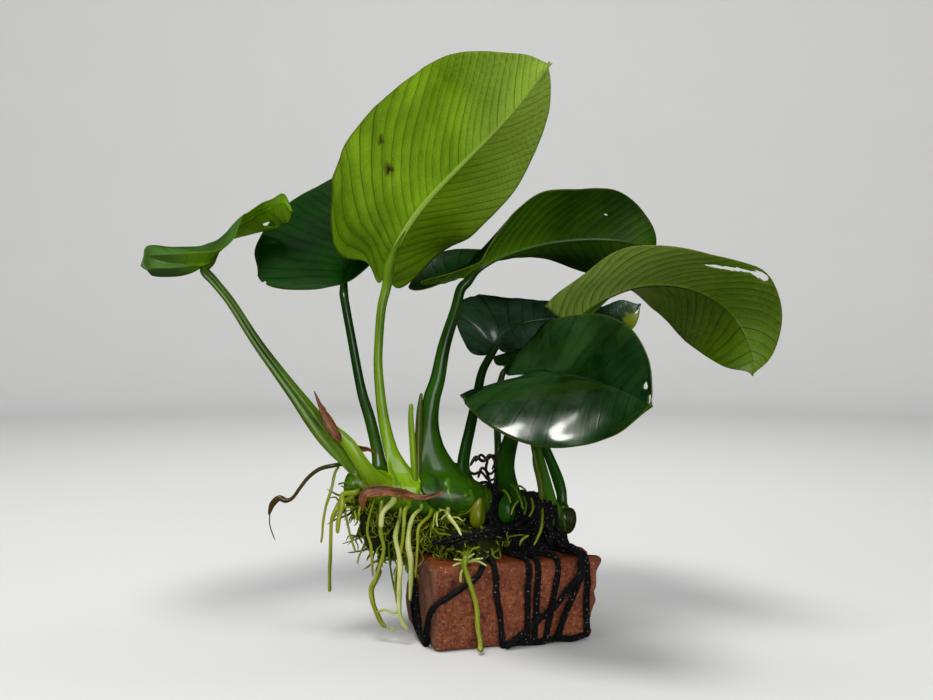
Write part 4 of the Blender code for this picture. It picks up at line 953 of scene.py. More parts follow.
# Holes and tears: the half (-1 left), the place along and across it, half its length and width, and its turn.
BLADE_HOLES = {
    "right_drooping": ((1, 51.6, 18.3, 8.6, 0.95, 2), (1, 58.8, 17.9, 2.4, 1.3, -8)),
    "arching": ((1, 57.2, 10.2, 1.2, 0.5, 20), (1, 50.4, 4.9, 0.5, 0.4, 0)),
    "front_glossy": ((-1, 52.6, 4.6, 1.5, 1.1, 10), (-1, 57.0, 1.6, 1.9, 1.7, 0)),
    "far_left": ((-1, 50.3, 10.4, 1.8, 1.4, 30),),
    "back_left": ((-1, -3.6, 30.6, 1.5, 1.5, 0),),
}

# Brown stains, as places and sizes.
BLADE_STAINS = {
    "tall": (((-42, 1.9, 176.7), 2.3), ((-38.4, -2.8, 165.8), 2.6)),
    "far_left": (((-129.5, 0, 130), 2),),
    "centre_dark": (((57, 45, 113), 5.5),),
}


def midrib_curve(handles, t):
    """Points of a midrib, which is a cubic curve with these four handles, at fractions t of it."""
    a, b, c, d = (np.array(p, float) for p in handles)
    t = np.asarray(t, float)[..., None]
    return (1 - t) ** 3 * a + 3 * t * (1 - t) ** 2 * b + 3 * t**2 * (1 - t) * c + t**3 * d


def half_blade(leaf, side, t, v):
    """One half of a blade: rows along the outline t, columns from the midrib to the margin v.

    A flat half is drawn first: each row runs from the midrib to a point of BLADE_OUTLINE. It is then laid
    along the midrib's curve, across which it rises at an angle that changes evenly towards the margin.
    Returns the points, the flat distances along and across, and the blade's length.
    """
    which = 0 if side < 0 else 1
    width, lobe = leaf["width"][which], leaf["lobe"][which]
    fine = np.linspace(0, 1, 200)
    rib = midrib_curve(leaf["midrib"], fine)
    run = run_of(rib)
    length = run[-1]
    outline = smooth_curve(BLADE_OUTLINE, t)
    widening = 1 + (leaf["spread"][which] - 1) * np.clip(-1.2 * outline[:, 0], 0, 1)
    edge_along = np.where(outline[:, 0] < 0, lobe, length) * outline[:, 0]
    edge_across = np.maximum(outline[:, 1], 0) * widening * width
    rib_along = length * t**1.15
    along = rib_along[:, None] + (edge_along - rib_along)[:, None] * v
    across = edge_across[:, None] * v
    at = np.interp(np.clip(along, 0, length), run, fine)
    forward = unit(at_distance(at, fine, unit(np.gradient(rib, axis=0))))
    up0, up1 = (np.array(u, float) for u in leaf["up"])
    up = up0 + (up1 - up0) * np.clip(along / length, 0, 1)[..., None]
    normal = unit(up - (up * forward).sum(-1, keepdims=True) * forward)
    right = np.cross(forward, normal)
    behind = np.minimum(along, 0)
    hang = leaf["droop"] * (behind / lobe) ** 2
    spine = midrib_curve(leaf["midrib"], at) + forward * behind[..., None] - normal * hang[..., None]
    rise, curl = math.radians(leaf["rise"][which]), math.radians(leaf["curl"][which])
    turn = rise + curl * across / width
    out = width / curl * (np.sin(turn) - math.sin(rise))
    lift = width / curl * (math.cos(rise) - np.cos(turn))
    return spine + side * right * out[..., None] + normal * lift[..., None], along, across, length


def meet_edges(grid, reach, points):
    """The rows of a blade with its edge drawn, sideways or up, to where it is seen to pass.

    Each point moves what lies near it by its own pull times exp(-(distance / reach)^2). One set of equations
    gives the pulls that bring all points to their places together, softened a little, so that the points
    may miss by a hair but the blade doesn't buckle between them.
    """
    at = np.array([grid[row, side] for row, side, *_ in points])
    moves = np.array([(to[0] - p[0], 0, to[1] - p[2]) if to else (0, 0, 0)
                      for p, (_, _, *to) in zip(at, points)])
    apart = np.linalg.norm(at[:, None] - at, axis=-1)
    pulls = np.linalg.solve(np.exp(-(apart / reach) ** 2) + EDGE_SOFTENING * np.eye(len(at)), moves)
    near = np.exp(-(np.linalg.norm(grid[:, :, None] - at, axis=-1) / reach) ** 2)
    return grid + near @ pulls


def torn(grid, along, across, holes):
    """The rows of a blade with its holes and tears, and which of its cells stay.

    A hole is an ellipse with a ragged edge. The cells inside it go, and the points near its edge are pushed
    out to that edge along and across the blade.
    """
    keep = np.ones((BLADE_ROWS - 1, 2 * BLADE_COLUMNS), bool)
    to_tip, to_side = unit(np.gradient(grid, axis=0)), unit(np.gradient(grid, axis=1))
    for half, at, off, long, wide, turn in holes:
        a, b = along - at, -half * across - off
        cosine, sine = math.cos(math.radians(turn)), math.sin(math.radians(turn))
        p, q = (a * cosine + b * sine) / long, (b * cosine - a * sine) / wide
        ragged = 1 + 0.13 * np.sin(3 * np.arctan2(q, p) + at) + 0.08 * np.sin(7 * np.arctan2(q, p))
        reach = np.hypot(p, q) / ragged
        keep &= (reach[:-1, :-1] + reach[1:, :-1] + reach[1:, 1:] + reach[:-1, 1:]) / 4 > 1
        push = np.where(reach < 1, 1 / np.maximum(reach, 0.3) - 1, 0)
        grid = grid + to_tip * (a * push)[..., None] - to_side * (half * b * push)[..., None]
    return grid, keep


def build_blade(name, leaf):
    """A blade with two skins: thin at the margin, swollen a little between its side veins, with the midrib
    standing out below and sunk above."""
    look = {**PLAIN_BLADE, **BLADE_LOOKS[name]}
    t = np.linspace(0.004, 0.9975, BLADE_ROWS)
    v = np.linspace(0, 1, BLADE_COLUMNS + 1) ** 1.35
    (left, left_along, left_across, length), (right, right_along, right_across, _) = (
        half_blade(leaf, side, t, v) for side in (-1, 1))
    grid = np.concatenate([right[:, ::-1], left[:, 1:]], axis=1)
    along = np.concatenate([right_along[:, ::-1], left_along[:, 1:]], axis=1)
    across = np.concatenate([-right_across[:, ::-1], left_across[:, 1:]], axis=1)
    outward = np.concatenate([v[::-1], v[1:]]) * np.ones_like(along)
    width = np.where(across < 0, leaf["width"][1], leaf["width"][0])
    x, side_of = np.abs(across), 3 * np.sign(across)
    first, later = np.where((across < 0)[None], *np.reshape(look["sweep"], (2, 2, 1, 1)))
    at_base, at_tip = look["fan"]
    bend = first * x + later * x**2 / width
    vein = (along - at_base * bend) / (1 + (at_tip - at_base) * bend / length)
    vein = vein + 0.8 * noise_along(vein, 7, 95, side_of)

    out = unit(np.cross(np.gradient(grid, axis=0), np.gradient(grid, axis=1)))
    seed = sorted(LEAVES).index(name)
    swell = (0.5 - 0.5 * np.cos(TURN * vein / VEIN_SPACING)) * fade(0, 6, x) * (1 - fade(0.85, 1, outward))
    waves = noise(grid, 17, 40 + seed) * fade(0.45, 1, outward)
    buckle = (noise(grid, 30, 60 + seed) + 0.35 * noise(grid, 12, 70 + seed)) * fade(0, 12, x)
    grid = grid + out * (look["swell"] * swell + 1.1 * waves + 0.9 * buckle)[..., None]
    grid = grid + out * (0.25 * noise(grid, 5, 80 + seed) * fade(0.75, 1, outward))[..., None]
    ripple = noise(grid, 9, 50 + seed) + 0.5 * noise(grid, 4.5, 55 + seed)
    grid = grid + out * (look["ripple"] * ripple * fade(0, 6, x))[..., None]
    for reach, points in BLADE_EDGES.get(name, ()):
        grid = meet_edges(grid, reach, points)
    grid, keep = torn(grid, along, across, BLADE_HOLES.get(name, ()))

    taper = 1 - 0.85 * fade(0, 1, along / length)
    half_rib = 0.75 * taper
    rib = np.exp(-(x / half_rib) ** 2) * taper
    thickness = 0.62 - 0.3 * fade(0.2, 1, outward)
    points, faces, lower = closed_sheet(grid, thickness, keep=keep, lift=(-0.3 * rib, 0.9 * rib))

    stain = np.zeros_like(along)
    for place, size in BLADE_STAINS.get(name, ()):
        apart = np.linalg.norm(grid - place, axis=-1) / size * (1 + 0.5 * noise(grid, 1.2, 90))
        stain = np.maximum(stain, 1 - fade(0.5, 1.0, apart))
    rib_seen = np.exp(-(x / (0.75 * half_rib)) ** 4) * (1 - 0.85 * fade(0.5, 0.85, along / length))
    # painted shade in the hollow along each vein
    hollow_shade = look["hollow_shade"] * np.exp(-(np.sin(math.pi * vein / VEIN_SPACING) / 0.55) ** 2) * fade(1, 8, x)
    fields = {"rib": rib_seen, "hollow_shade": hollow_shade, "margin": fade(0.975, 1, outward), "stain": stain}
    fields = {field: np.tile(values.ravel(), 2) for field, values in fields.items()}
    maps = {"veins": np.tile(np.stack([vein, x], -1).reshape(-1, 2) / 100, (2, 1))}
    upper_coat, lower_coat = look["coats"]
    skins = [
        blade_finish(f"{name} leaf, upper side", look["upper"], look["rough"], upper_coat, look["depth"],
                     look),
        blade_finish(f"{name} leaf, underside", look["lower"], UNDERSIDE_ROUGH, lower_coat, UNDERSIDE_DEPTH,
                     look, look["beyond"])]
    add_piece(name + "_leaf_blade", points, [faces], skins, [name + "_blade"], fields, maps, lower)


STALK_LOOKS = {  # colour at the foot, higher up, and of its streaks
    "far_left": ("#5A7A06", "#3C5A0A", "#1E3602"), "back_left": ("#2E5206", "#0E2E04", "#082402"),
    "tall": ("#6E9200", "#56740A", "#3C5A04"), "arching": ("#2A4E00", "#1E4604", "#082000"),
    "centre_dark": ("#164004", "#0C2A02", "#082002"), "small_middle": ("#1C4006", "#183404", "#102802"),
    "front_glossy": ("#1C4804", "#0E2E02", "#0A2402"), "right_drooping": ("#346006", "#2A4E06", "#1A3A04"),
}


def build_stalk(name, leaf):
    """The stalk of a leaf: it rises from the creeping stem in a spread sheath, has a shallow groove towards
    the upper side, and runs on as the midrib under the blade."""
    base, handle = (np.array(p, float) for p in leaf["midrib"][:2])
    forward, up = unit(handle - base), np.array(leaf["up"][0], float)
    normal = unit(up - (up @ forward) * forward)
    top = base - (0.95 + 0.9 * leaf["radii"][-1]) * normal - 0.5 * forward
    fine = midrib_curve(leaf["midrib"], np.linspace(0, 1, 100))
    run = run_of(fine)
    under = [at_distance(distance, run, fine) - off * normal
             for distance, off in ((4.0, 1.2), (9.0, 0.75), (16.0, 0.4), (26.0, 0.15))]
    radii = np.interp(np.linspace(0, 1, len(leaf["stalk"]) + 2), np.linspace(0, 1, len(leaf["radii"])),
                      leaf["radii"])
    path, radius = grown(leaf["seat"], [*leaf["stalk"], top, *under],
                         [*radii, radii[-1] * 0.8, 0.85, 0.6, 0.3], 0.9, STALK_SUNK)
    run = run_of(path)
    radius = rounded_ends(run, radius, start=False)
    sides = 36
    angle = np.arange(sides) / sides * TURN
    channel_at, channel_depth = leaf.get("channel", (90, 0.10))
    apart = (angle - math.radians(channel_at) + math.pi) % TURN - math.pi
    channel = channel_depth * np.exp(-(apart / 0.32) ** 2)[None] * fade(5, 25, run)[:, None]
    shape = radius[:, None] * (1 - channel)
    shape *= 1 + 0.015 * np.sin(5 * angle + 0.08 * run[:, None])
    rings = clasping(path, shape, leaf["foot"], STALK_SUNK, along_rhizome(leaf["seat"][0], 0.03))
    points, quads, ends, distance, around, _ = closed_rings(rings[None])
    skin = stem_finish(f"{name} leaf stalk", *STALK_LOOKS[name])
    add_piece(name + "_leaf_stalk", points, [quads, ends], [skin], [name + "_stalk"],
              maps=run_map(distance, 12 * around))


# --- Creeping stem, shoots and roots ---

def build_rhizome():
    """The creeping stem: a thick tube with slanting ring scars where old leaves stood."""
    t = np.linspace(0, 1, 190)
    path = smooth_curve(RHIZOME_PATH, t)
    ahead, behind = unit(path[-1] - path[-2]), unit(path[0] - path[1])
    nose = np.linspace(1, 0.15, 6)  # a fraction of how far each end bulges out, from its tip inwards
    before, after = 2.4 * nose[:, None] * behind, 2.6 * nose[::-1, None] * ahead
    path = np.vstack([path[0] + before, path, path[-1] + after])
    radius = smooth_curve(RHIZOME_RADII, t)[:, 0]
    bulge = np.sqrt(np.clip(1 - nose**2, 0.02, 1))
    radius = np.r_[radius[0] * bulge, radius, radius[-1] * bulge[::-1]]
    run = run_of(path)
    sides, scar_spacing = 56, 6.4
    angle = np.arange(sides) / sides * TURN
    slanted = (run[:, None] + 1.6 * np.sin(angle + 0.7) + 0.5 * np.sin(3 * angle)) / scar_spacing
    cycle = slanted - np.floor(slanted)
    ring = 0.45 * cycle**2 - 0.5 * np.exp(-(cycle / 0.07) ** 2) - 0.5 * np.exp(-((cycle - 1.0) / 0.05) ** 2)
    shape = radius[:, None] + ring * fade(0, 2, radius)[:, None]
    points, quads, ends, distance, around, _ = tubes(path, shape, sides, side=(0, 1, 0))
    out = 0.35 * noise(points, 6, 11) + 0.12 * noise(points, 2, 12)
    points = points + unit(points - at_distance(distance, run, path)) * out[:, None]
    scar = np.r_[(0.7 * np.exp(-((cycle - 0.97) / 0.05) ** 2)).ravel(), 0, 0]
    add_piece("creeping_stem", points, [quads, ends], [rhizome_finish()], ["rhizome"],
              {"scar": scar}, run_map(distance, 40 * around))


SHOOT_LOOKS = {
    "dark": ("#1E4A06", "#0E3402", "#0A2802"), "pale": ("#648200", "#6E8A1A", "#465E04"),
    "olive": ("#46560A", "#3C4A08", "#2C3A04"), "yellow": ("#5C6600", "#7C7600", "#38480A"),
    "dried": ("#2C3A06", "#46300C", "#201604"),
}


def build_shoot(name, shoot):
    """A bud, a sheath or a spent stalk: a stem that ends rounded or in a point."""
    path, radius = grown(shoot["seat"], shoot["points"], shoot["radii"], 0.6, SHOOT_SUNK)
    run = run_of(path)
    radius = rounded_ends(run, radius, start="foot" not in shoot)
    sides = 28
    angle = np.arange(sides) / sides * TURN
    keel = 1 + 0.06 * np.cos(2 * angle + 0.4) + 0.03 * np.sin(5 * angle + 0.1 * run[:, None])
    shape = radius[:, None] * keel
    if "foot" in shoot:
        rings = clasping(path, shape, shoot["foot"], SHOOT_SUNK, along_rhizome(shoot["seat"][0], 0.03))[None]
    else:
        rings = tube_rings(path[None], shape[None], sides)
    points, quads, ends, distance, around, _ = closed_rings(rings)
    skin = stem_finish(name.replace("_", " "), *SHOOT_LOOKS[shoot["colour"]], reach=25)
    add_piece(name + "_skin", points, [quads, ends], [skin], [name],
              maps=run_map(distance, 12 * around))


ROOT_LOOKS = {  # colour where it starts, 30 mm further on, and of its streaks
    "green": ("#66780A", "#8C9026", "#46560C"), "dark": ("#3A5A04", "#566E0C", "#284404"),
    "white": ("#647E08", "#BCBE84", "#7E8C34"), "pale": ("#8A9640", "#C6C690", "#8E984A"),
    "dead": ("#2A1E08", "#3A2608", "#140E04"),
}
ROOT_COLOURS = ("white", "green", "pale", "green", "green", "pale", "white", *("green",) * 9)
# Colour and stoutness of each bunch of small rootlets.
BUNCHES = {"green": ("green", 1), "white": ("pale", 1), "dark": ("dark", 1), "dead": ("dead", 1.5)}


def build_roots():
    """Roots: smooth tapering tubes that wander a little, each with a rounded tip, and bunches of rootlets."""
    skins = {kind: stem_finish(f"{kind} root skin", *look, reach=30) for kind, look in ROOT_LOOKS.items()}
    for number, ((seat, points, radii), colour) in enumerate(zip(ROOTS, ROOT_COLOURS), 1):
        path, radius = grown(seat, points, radii, 0.7, SHOOT_SUNK)
        run = run_of(path)
        wander = np.stack([noise_along(run, 7, 100 + number, 9 * number + 3 * k) for k in range(3)], -1)
        path = path + 0.28 * wander * (fade(0, 6, run) * fade(0, 6, run[-1] - run))[:, None]
        radius = 0.88 * radius * (1 + 0.14 * noise_along(run, 4, 130, up=number))
        radius = rounded_ends(run, radius, start=seat is None)
        points, quads, ends, distance, around, _ = tubes(path, radius, 14)
        add_piece(f"root_{number:02d}_skin", points, [quads, ends], [skins[colour]], [f"root_{number:02d}"],
                  maps=run_map(distance, 7 * around))
    s = np.linspace(0, 1, 40)
    for kind, (colour, stout) in BUNCHES.items():
        chosen = [(spots, radii) for look, spots, radii in ROOTLETS if look == kind]
        paths = np.array([smooth_curve(spots, s) for spots, _ in chosen])
        radius = stout * blunt(s, 10) * np.array([first + (last - first) * s for _, (first, last) in chosen])
        points, quads, ends, distance, around, _ = tubes(paths, radius, 8)
        add_piece(f"small_rootlets_{kind}", points, [quads, ends], [skins[colour]], (),
                  maps=run_map(distance, 3 * around))


def build_scales(skin):
    """Dried scales: thin ribbons with curled, ragged sides, wider and narrower by turns and torn at their
    ends."""
    s, w = np.linspace(0, 1, 200), np.linspace(-1, 1, 17)
    for number, (name, scale) in enumerate(SCALES.items()):
        path = smooth_curve(scale["points"], s)
        along = unit(np.gradient(path, axis=0))
        across = unit(np.cross(along, np.array(scale["facing"], float)))
        out = np.cross(across, along)
        run = run_of(path)
        taper = (blunt(s, 6) * (1 - scale["narrow"] * fade(0.35, 1, s)))[:, None]
        wide = 1 + 0.3 * noise_along(run, 5, 200, number)[:, None]
        left, right = (1 + 0.28 * noise_along(run, 1.3, 205, 7 * side, number)[:, None] for side in (-1, 1))
        half = 0.5 * scale["width"] * taper * wide * w * np.where(w < 0, left, right)
        cup = taper * (0.7 * w**2 + 0.5 * noise_along(run[:, None], 3, 201 + number, 2 * w, number))
        grid = path[:, None] + across[:, None] * half[..., None] + out[:, None] * cup[..., None]
        points, faces, _ = closed_sheet(grid, 0.3)
        maps = run_map(*(np.tile(pairs.ravel(), 2) for pairs in np.broadcast_arrays(run[:, None], half)))
        nodes = [name] if name != "dried_scale_small" else ()
        add_piece(name + "_skin", points, [faces], [skin], nodes, maps=maps)


# --- Stone ---

def rounded_box(points, off=0.0):
    """Points of the stone's box, from its middle, brought to its rounded skin or a distance off it."""
    reach = STONE_SIZE / 2 - STONE_EDGE
    inner = np.clip(points, -reach, reach)
    return inner + (STONE_EDGE + off) * unit(points - inner)


def turned(points):
    """Points turned about the upright axis, as the stone is."""
    x, y, z = np.moveaxis(np.asarray(points, float), -1, 0)
    cosine, sine = math.cos(STONE_TURN), math.sin(STONE_TURN)
    return np.stack([cosine * x - sine * y, sine * x + cosine * y, z], axis=-1)


def off_stone(points, off):
    """Points on the stone's box moved to stand off its skin, and turned with it."""
    middle = np.array((0, 0, STONE_SIZE[2] / 2))
    return turned(rounded_box(np.array(points, float) - middle, off) + middle)


def broken_away(points):
    """The stone's two ends as they broke: shallow waves across them, and the right end drawn in below."""
    x, y, z = points.T
    right, left = np.clip(x / 20 - 0.4, 0, 1), np.clip(-x / 20 - 0.4, 0, 1)
    waves = np.sin(0.55 * y + 0.4 * z) + 0.7 * np.sin(0.31 * z - 0.9 * y + 1.3)
    drawn_in = 4.2 * np.clip(1 - z / STONE_SIZE[2], 0, 1)
    moved = points.copy()
    moved[:, 0] += right * (STONE_BREAK * waves * 0.6 + 2.2 - drawn_in)
    moved[:, 0] += left * 0.25 * STONE_BREAK * np.sin(0.4 * y - 0.3 * z)
    return moved


def box_surface(size, cell):
    """Points and outward four-sided faces of a box's six sides, divided in cells of about that size."""
    counts = np.maximum(np.round(size / cell).astype(int), 1)
    quads = []
    for axis in range(3):
        a, b = (axis + 1) % 3, (axis + 2) % 3
        for end in (0, 1):
            u, v = np.meshgrid(np.arange(counts[a]), np.arange(counts[b]), indexing="ij")
            corners = []
            for du, dv in ((0, 0), (1, 0), (1, 1), (0, 1)):
                key = np.zeros((u.size, 3), int)
                key[:, axis] = end * counts[axis]
                key[:, a], key[:, b] = (u + du).ravel(), (v + dv).ravel()
                corners.append(key)
            quads.append(np.stack(corners if end else corners[::-1], 1))
    keys = np.concatenate(quads).reshape(-1, 3)
    points, which = np.unique(keys, axis=0, return_inverse=True)
    return (points / counts - 0.5) * size, which.reshape(-1, 4)


STONE_CELL = 0.62
PITS = 620
# The pits that show most on the front, with painted shade inside: places and sizes.
FRONT_PITS = (
    ((-22.4, -21.0, 22.6), 1.3), ((-23.2, -21.0, 20.6), 1.0), ((-21.2, -21.0, 21.4), 0.8),
    ((-12.6, -21.0, 11.0), 0.9), ((-12, -21, 9.6), 0.6), ((-15.5, -21, 3.2), 0.6),
)


def build_stone():
    """The fired clay: a box with rounded, chipped edges and broken ends, roughened by noise and pitted by
    small round dents, its underside flat."""
    box, faces = box_surface(STONE_SIZE, STONE_CELL)
    points = rounded_box(box)
    reach = STONE_SIZE / 2 - STONE_EDGE
    outward = unit(box - np.clip(box, -reach, reach))
    points[:, 2] += STONE_SIZE[2] / 2
    points = broken_away(points)
    off_floor = fade(0.2, 2.5, points[:, 2])
    end = np.abs(outward[:, 0])
    rough = 0.30 * noise(points, 7, 1) + 0.16 * noise(points, 2.4, 2) + 0.10 * noise(points, 1.1, 3)
    rough += 0.55 * end * (points[:, 0] > 0) * noise(points, 4.5, 4)
    corner = fade(1.25, 1.6, np.abs(outward).sum(-1))
    rough -= corner * (0.35 + 0.75 * np.clip(noise(points, 5, 5), 0, 1))
    rng = np.random.default_rng(6)
    seats = points[rng.choice(len(points), PITS, replace=False)]
    sizes = 0.3 + 0.8 * rng.uniform(0, 1, len(seats)) ** 3
    seats = np.vstack([seats, [place for place, _ in FRONT_PITS]])
    sizes = np.r_[sizes, [size for _, size in FRONT_PITS]]
    dent, pit_shade = np.zeros(len(points)), np.zeros(len(points))
    for number, (seat, size) in enumerate(zip(seats, sizes)):
        off = (points - seat) / size
        ragged = 1 + 0.5 * np.sin(3 * off[:, 0] + number) * np.cos(2 * off[:, 2])
        near = np.exp(-((off**2).sum(-1) * ragged) ** 1.5)
        dent = np.maximum(dent, near * size * 0.6)
        # the front pits also get painted shade inside them
        if number >= PITS:
            pit_shade = np.maximum(pit_shade, near)
    points = points + outward * ((rough - dent) * off_floor)[:, None]
    points[:, 2] = np.maximum(points[:, 2], 0)
    smooth = fade(0.6, 0.95, -outward[:, 0]) * 0.85
    damp = fade(0.4, 0.9, outward[:, 2]) * (0.75 + 0.25 * noise(points, 8, 7))
    front, high = fade(0.55, 1, -outward[:, 1]), fade(21, 27, points[:, 2] + 2 * noise(points, 9, 8))
    damp = np.maximum(damp, 0.55 * front * high * fade(12, -10, points[:, 0]))
    add_piece("brick", turned(points), [faces], [brick_finish()], ["stone"],
              {"skin": smooth, "damp": np.clip(damp, 0, 1), "pit_shade": np.clip(pit_shade * 1.1, 0, 0.65)})


# --- Yarn ---

def plied(paths, radius, sides, pitch=4.0, lay=0.16):
    """Radii of the rings of one yarn or of several: three plies wind round each, one turn every pitch mm."""
    angle = np.arange(sides) / sides * TURN
    turn = angle - TURN * run_of(paths)[..., None] / pitch
    return radius[..., None] * (1 + lay * np.abs(np.cos(1.5 * turn)) - 0.5 * lay)


def upright_route(face, inner, upper, lower):
    """The route of an upright tie on the front or the back of the stone: out of the bundle, over the upper
    edge and down."""
    inset, start = face * (1 - STONE_EDGE / BACK), face * (1 - TOP_RUN / BACK)
    return ((inner, start, TOP), (0.5 * (inner + upper), 0.4 * start + 0.6 * inset, TOP), (upper, inset, TOP),
            (upper, face, TOP), (upper, face, TOP - STONE_EDGE), (lower, face, STONE_EDGE),
            (lower, face, TIE_FOOT))


def build_ties(skin):
    """The yarn on the stone: each tie follows its route on the stone's skin as a twisted round yarn."""
    ties = {name: (TIE_OFF, upright_route(face, *places))
            for face, found in ((FRONT, FRONT_TIES), (BACK, BACK_TIES)) for name, places in found.items()}
    ties.update(OTHER_TIES)
    spacing, sides, span = 0.45, 14, 5  # span: the points that a rounded corner takes in
    for number, (name, (off, route)) in enumerate(ties.items()):
        spots = off_stone(route, off - 0.25)
        run = run_of(spots)
        path = at_distance(np.linspace(0, run[-1], int(run[-1] / spacing)), run, spots)
        for _ in range(2):
            padded = np.pad(path, ((span // 2, span // 2), (0, 0)), mode="edge")
            path = np.stack([np.convolve(row, np.ones(span) / span, mode="valid") for row in padded.T], -1)
        run = run_of(path)
        wander = 0.28 * noise_along(run, 6, 301, 5 * number) * fade(0, 8, run)
        path = path + turned(wander[:, None] * (1, 0, 0))
        varied = 1.06 + 0.16 * noise_along(run, 3, 300, number)
        shape = plied(path, rounded_ends(run, YARN_RADIUS * varied), sides, 4.2, 0.13)
        points, quads, ends, distance, around, _ = tubes(path, shape, sides)
        nodes = [name] if name not in ("tie_left_low", "tie_front_low") else ()
        add_piece(name + "_yarn", points, [quads, ends], [skin], nodes,
                  maps=run_map(distance, 6 * around))


def packing_outline(t, front, behind, floor):
    """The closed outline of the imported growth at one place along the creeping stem."""
    start, end, steps = PACKING_ARC
    centre, _, back, _ = rhizome_frame(t)
    arc = [on_rhizome(t, a, PACKING_GAP) for a in np.linspace(start, end, steps)]
    lift = arc[0][2] - floor
    foot, heel = centre - back * front, centre + back * behind
    ring = [np.array((*heel[:2], floor)), np.array((*heel[:2], floor + 0.5 * lift))] + arc[::-1]
    shoulder = arc[0] * 0.45 + foot * 0.55
    for p, h in ((shoulder, 0.7 * lift), (foot, 0.3 * lift), (foot, 0.0)):
        ring.append(np.array((*p[:2], floor + h)))
    return np.array(ring)


def packing_surface(sections, rows, columns, seed, rough):
    """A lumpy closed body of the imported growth: its outlines joined by smooth curves along and round it."""
    given = np.moveaxis([packing_outline(*section) for section in sections], 1, 0)
    outlines = np.stack([smooth_curve(corner, np.linspace(0, 1, rows)) for corner in given], 1)
    corners = len(given)
    ring = np.linspace(0, 1, columns, endpoint=False) * corners
    low = np.floor(ring).astype(int)
    f = (ring - low)[None, :, None]
    grid = outlines[:, low] * (1 - f) + outlines[:, (low + 1) % corners] * f
    middle = grid.mean(axis=1, keepdims=True)
    out = unit(grid - middle)
    lumps = 0.6 + rough * (0.5 + 0.5 * noise(grid, 3, seed)) + 0.5 * rough * noise(grid, 1.4, seed + 1)
    grid = grid - out * lumps[..., None]
    points = np.concatenate([grid.reshape(-1, 3), middle[0], middle[-1]])
    faces, caps = grid_faces(rows, columns, wrap=True), end_fans(rows, columns)
    a, b, e = (points[faces[:, k]] for k in range(3))
    facing = (np.cross(b - a, e - b) * (a - middle[0])).sum()
    if facing < 0:
        faces, caps = faces[:, ::-1], caps[:, ::-1]
    return grid, out, points, faces, caps


def curved_shoots(roots, ways, sides, steps, seed):
    """Short shoots of moss: each starts at its root, goes its own way and bends evenly to one side and down.

    Returns what closed_rings does, and for each point the fraction of the way along its shoot.
    """
    rng = np.random.default_rng(seed)
    n = len(roots)
    s = np.linspace(0, 1, steps)
    side = unit(unit(np.cross(ways, rng.normal(size=(n, 3)))) + np.array((0, 0, -0.6)))
    length, bend = MOSS_LENGTH * rng.uniform(0.4, 1.3, n), MOSS_BEND * rng.uniform(0.4, 1.2, n)
    ahead = ways[:, None] * s[:, None] + side[:, None] * bend[:, None, None] * (s**2)[:, None]
    ahead = ahead + 0.14 * rng.normal(size=(n, 1, 3)) * np.sin(1.5 * TURN * s)[:, None]
    paths = roots[:, None] + ahead * length[:, None, None]
    swell = blunt(s, 8, 0.05) * (1 - (1 - MOSS_TAPER) * s)
    radii = MOSS_RADIUS * rng.uniform(0.65, 1.3, n)[:, None] * swell
    made = closed_rings(tube_rings(paths, radii, sides, side))
    return *made, np.tile(np.r_[np.repeat(s, sides), 0, 1], n)


def build_moss():
    """Moss under the creeping stem: a lumpy body, near black as painted shade, under tufts of curved shoots,
    with gaps.
    """
    grid, out, points, faces, caps = packing_surface(MOSS_SECTIONS, 90, 110, 400, 1.6)
    rng = np.random.default_rng(402)
    rows, columns = grid.shape[:2]
    tufts, loose, lowest = MOSS_TUFTS, LOOSE_TUFTS, 27.6
    r, c = (rng.uniform(0, 1, tufts) * (rows - 1)).astype(int), rng.integers(0, columns, tufts)
    seats, ways = grid[r, c], out[r, c]
    chance = noise(seats, 5, 404) + rng.uniform(0, 0.5, tufts)
    kept = (seats[:, 2] > lowest) & (chance > 0.1 * fade(-36, -46, seats[:, 0]))
    seats, ways = seats[kept], ways[kept]
    hanging = on_rhizome(rng.uniform(0, 0.12, loose), rng.uniform(200, 300, loose), rng.uniform(0, 2, loose))
    seats = np.concatenate([seats, hanging])
    ways = np.concatenate([ways, np.tile((-0.4, -0.3, -0.7), (loose, 1))])
    ways = unit(ways + 0.5 * rng.normal(size=ways.shape) + np.array((0, -0.3, -0.1)))
    seats, ways = np.repeat(seats, TUFT_SHOOTS, axis=0), np.repeat(ways, TUFT_SHOOTS, axis=0)
    seats = seats + rng.normal(size=seats.shape) * 0.9 - 0.5 * ways
    ways = unit(ways + 0.7 * rng.normal(size=ways.shape))
    shoot_points, quads, ends, _, _, number, along = curved_shoots(seats, ways, 6, 10, 403)
    shade = np.clip(rng.uniform(0, 1, len(seats)) ** 2.2 + 0.35 * noise(seats, 4, 405), 0, 1)[number]
    base = len(points)
    # the packed body takes the near-black end of the colour: painted shade inside the moss
    fields = {"shade": np.r_[np.full(base, 0.07), 0.08 + 0.92 * shade],
              "end": np.r_[np.zeros(base), along**3]}
    points, faces = np.concatenate([points, shoot_points]), [faces, caps, quads + base, ends + base]
    add_piece("moss_shoots", points, faces, [moss_finish()], ["moss"], fields)


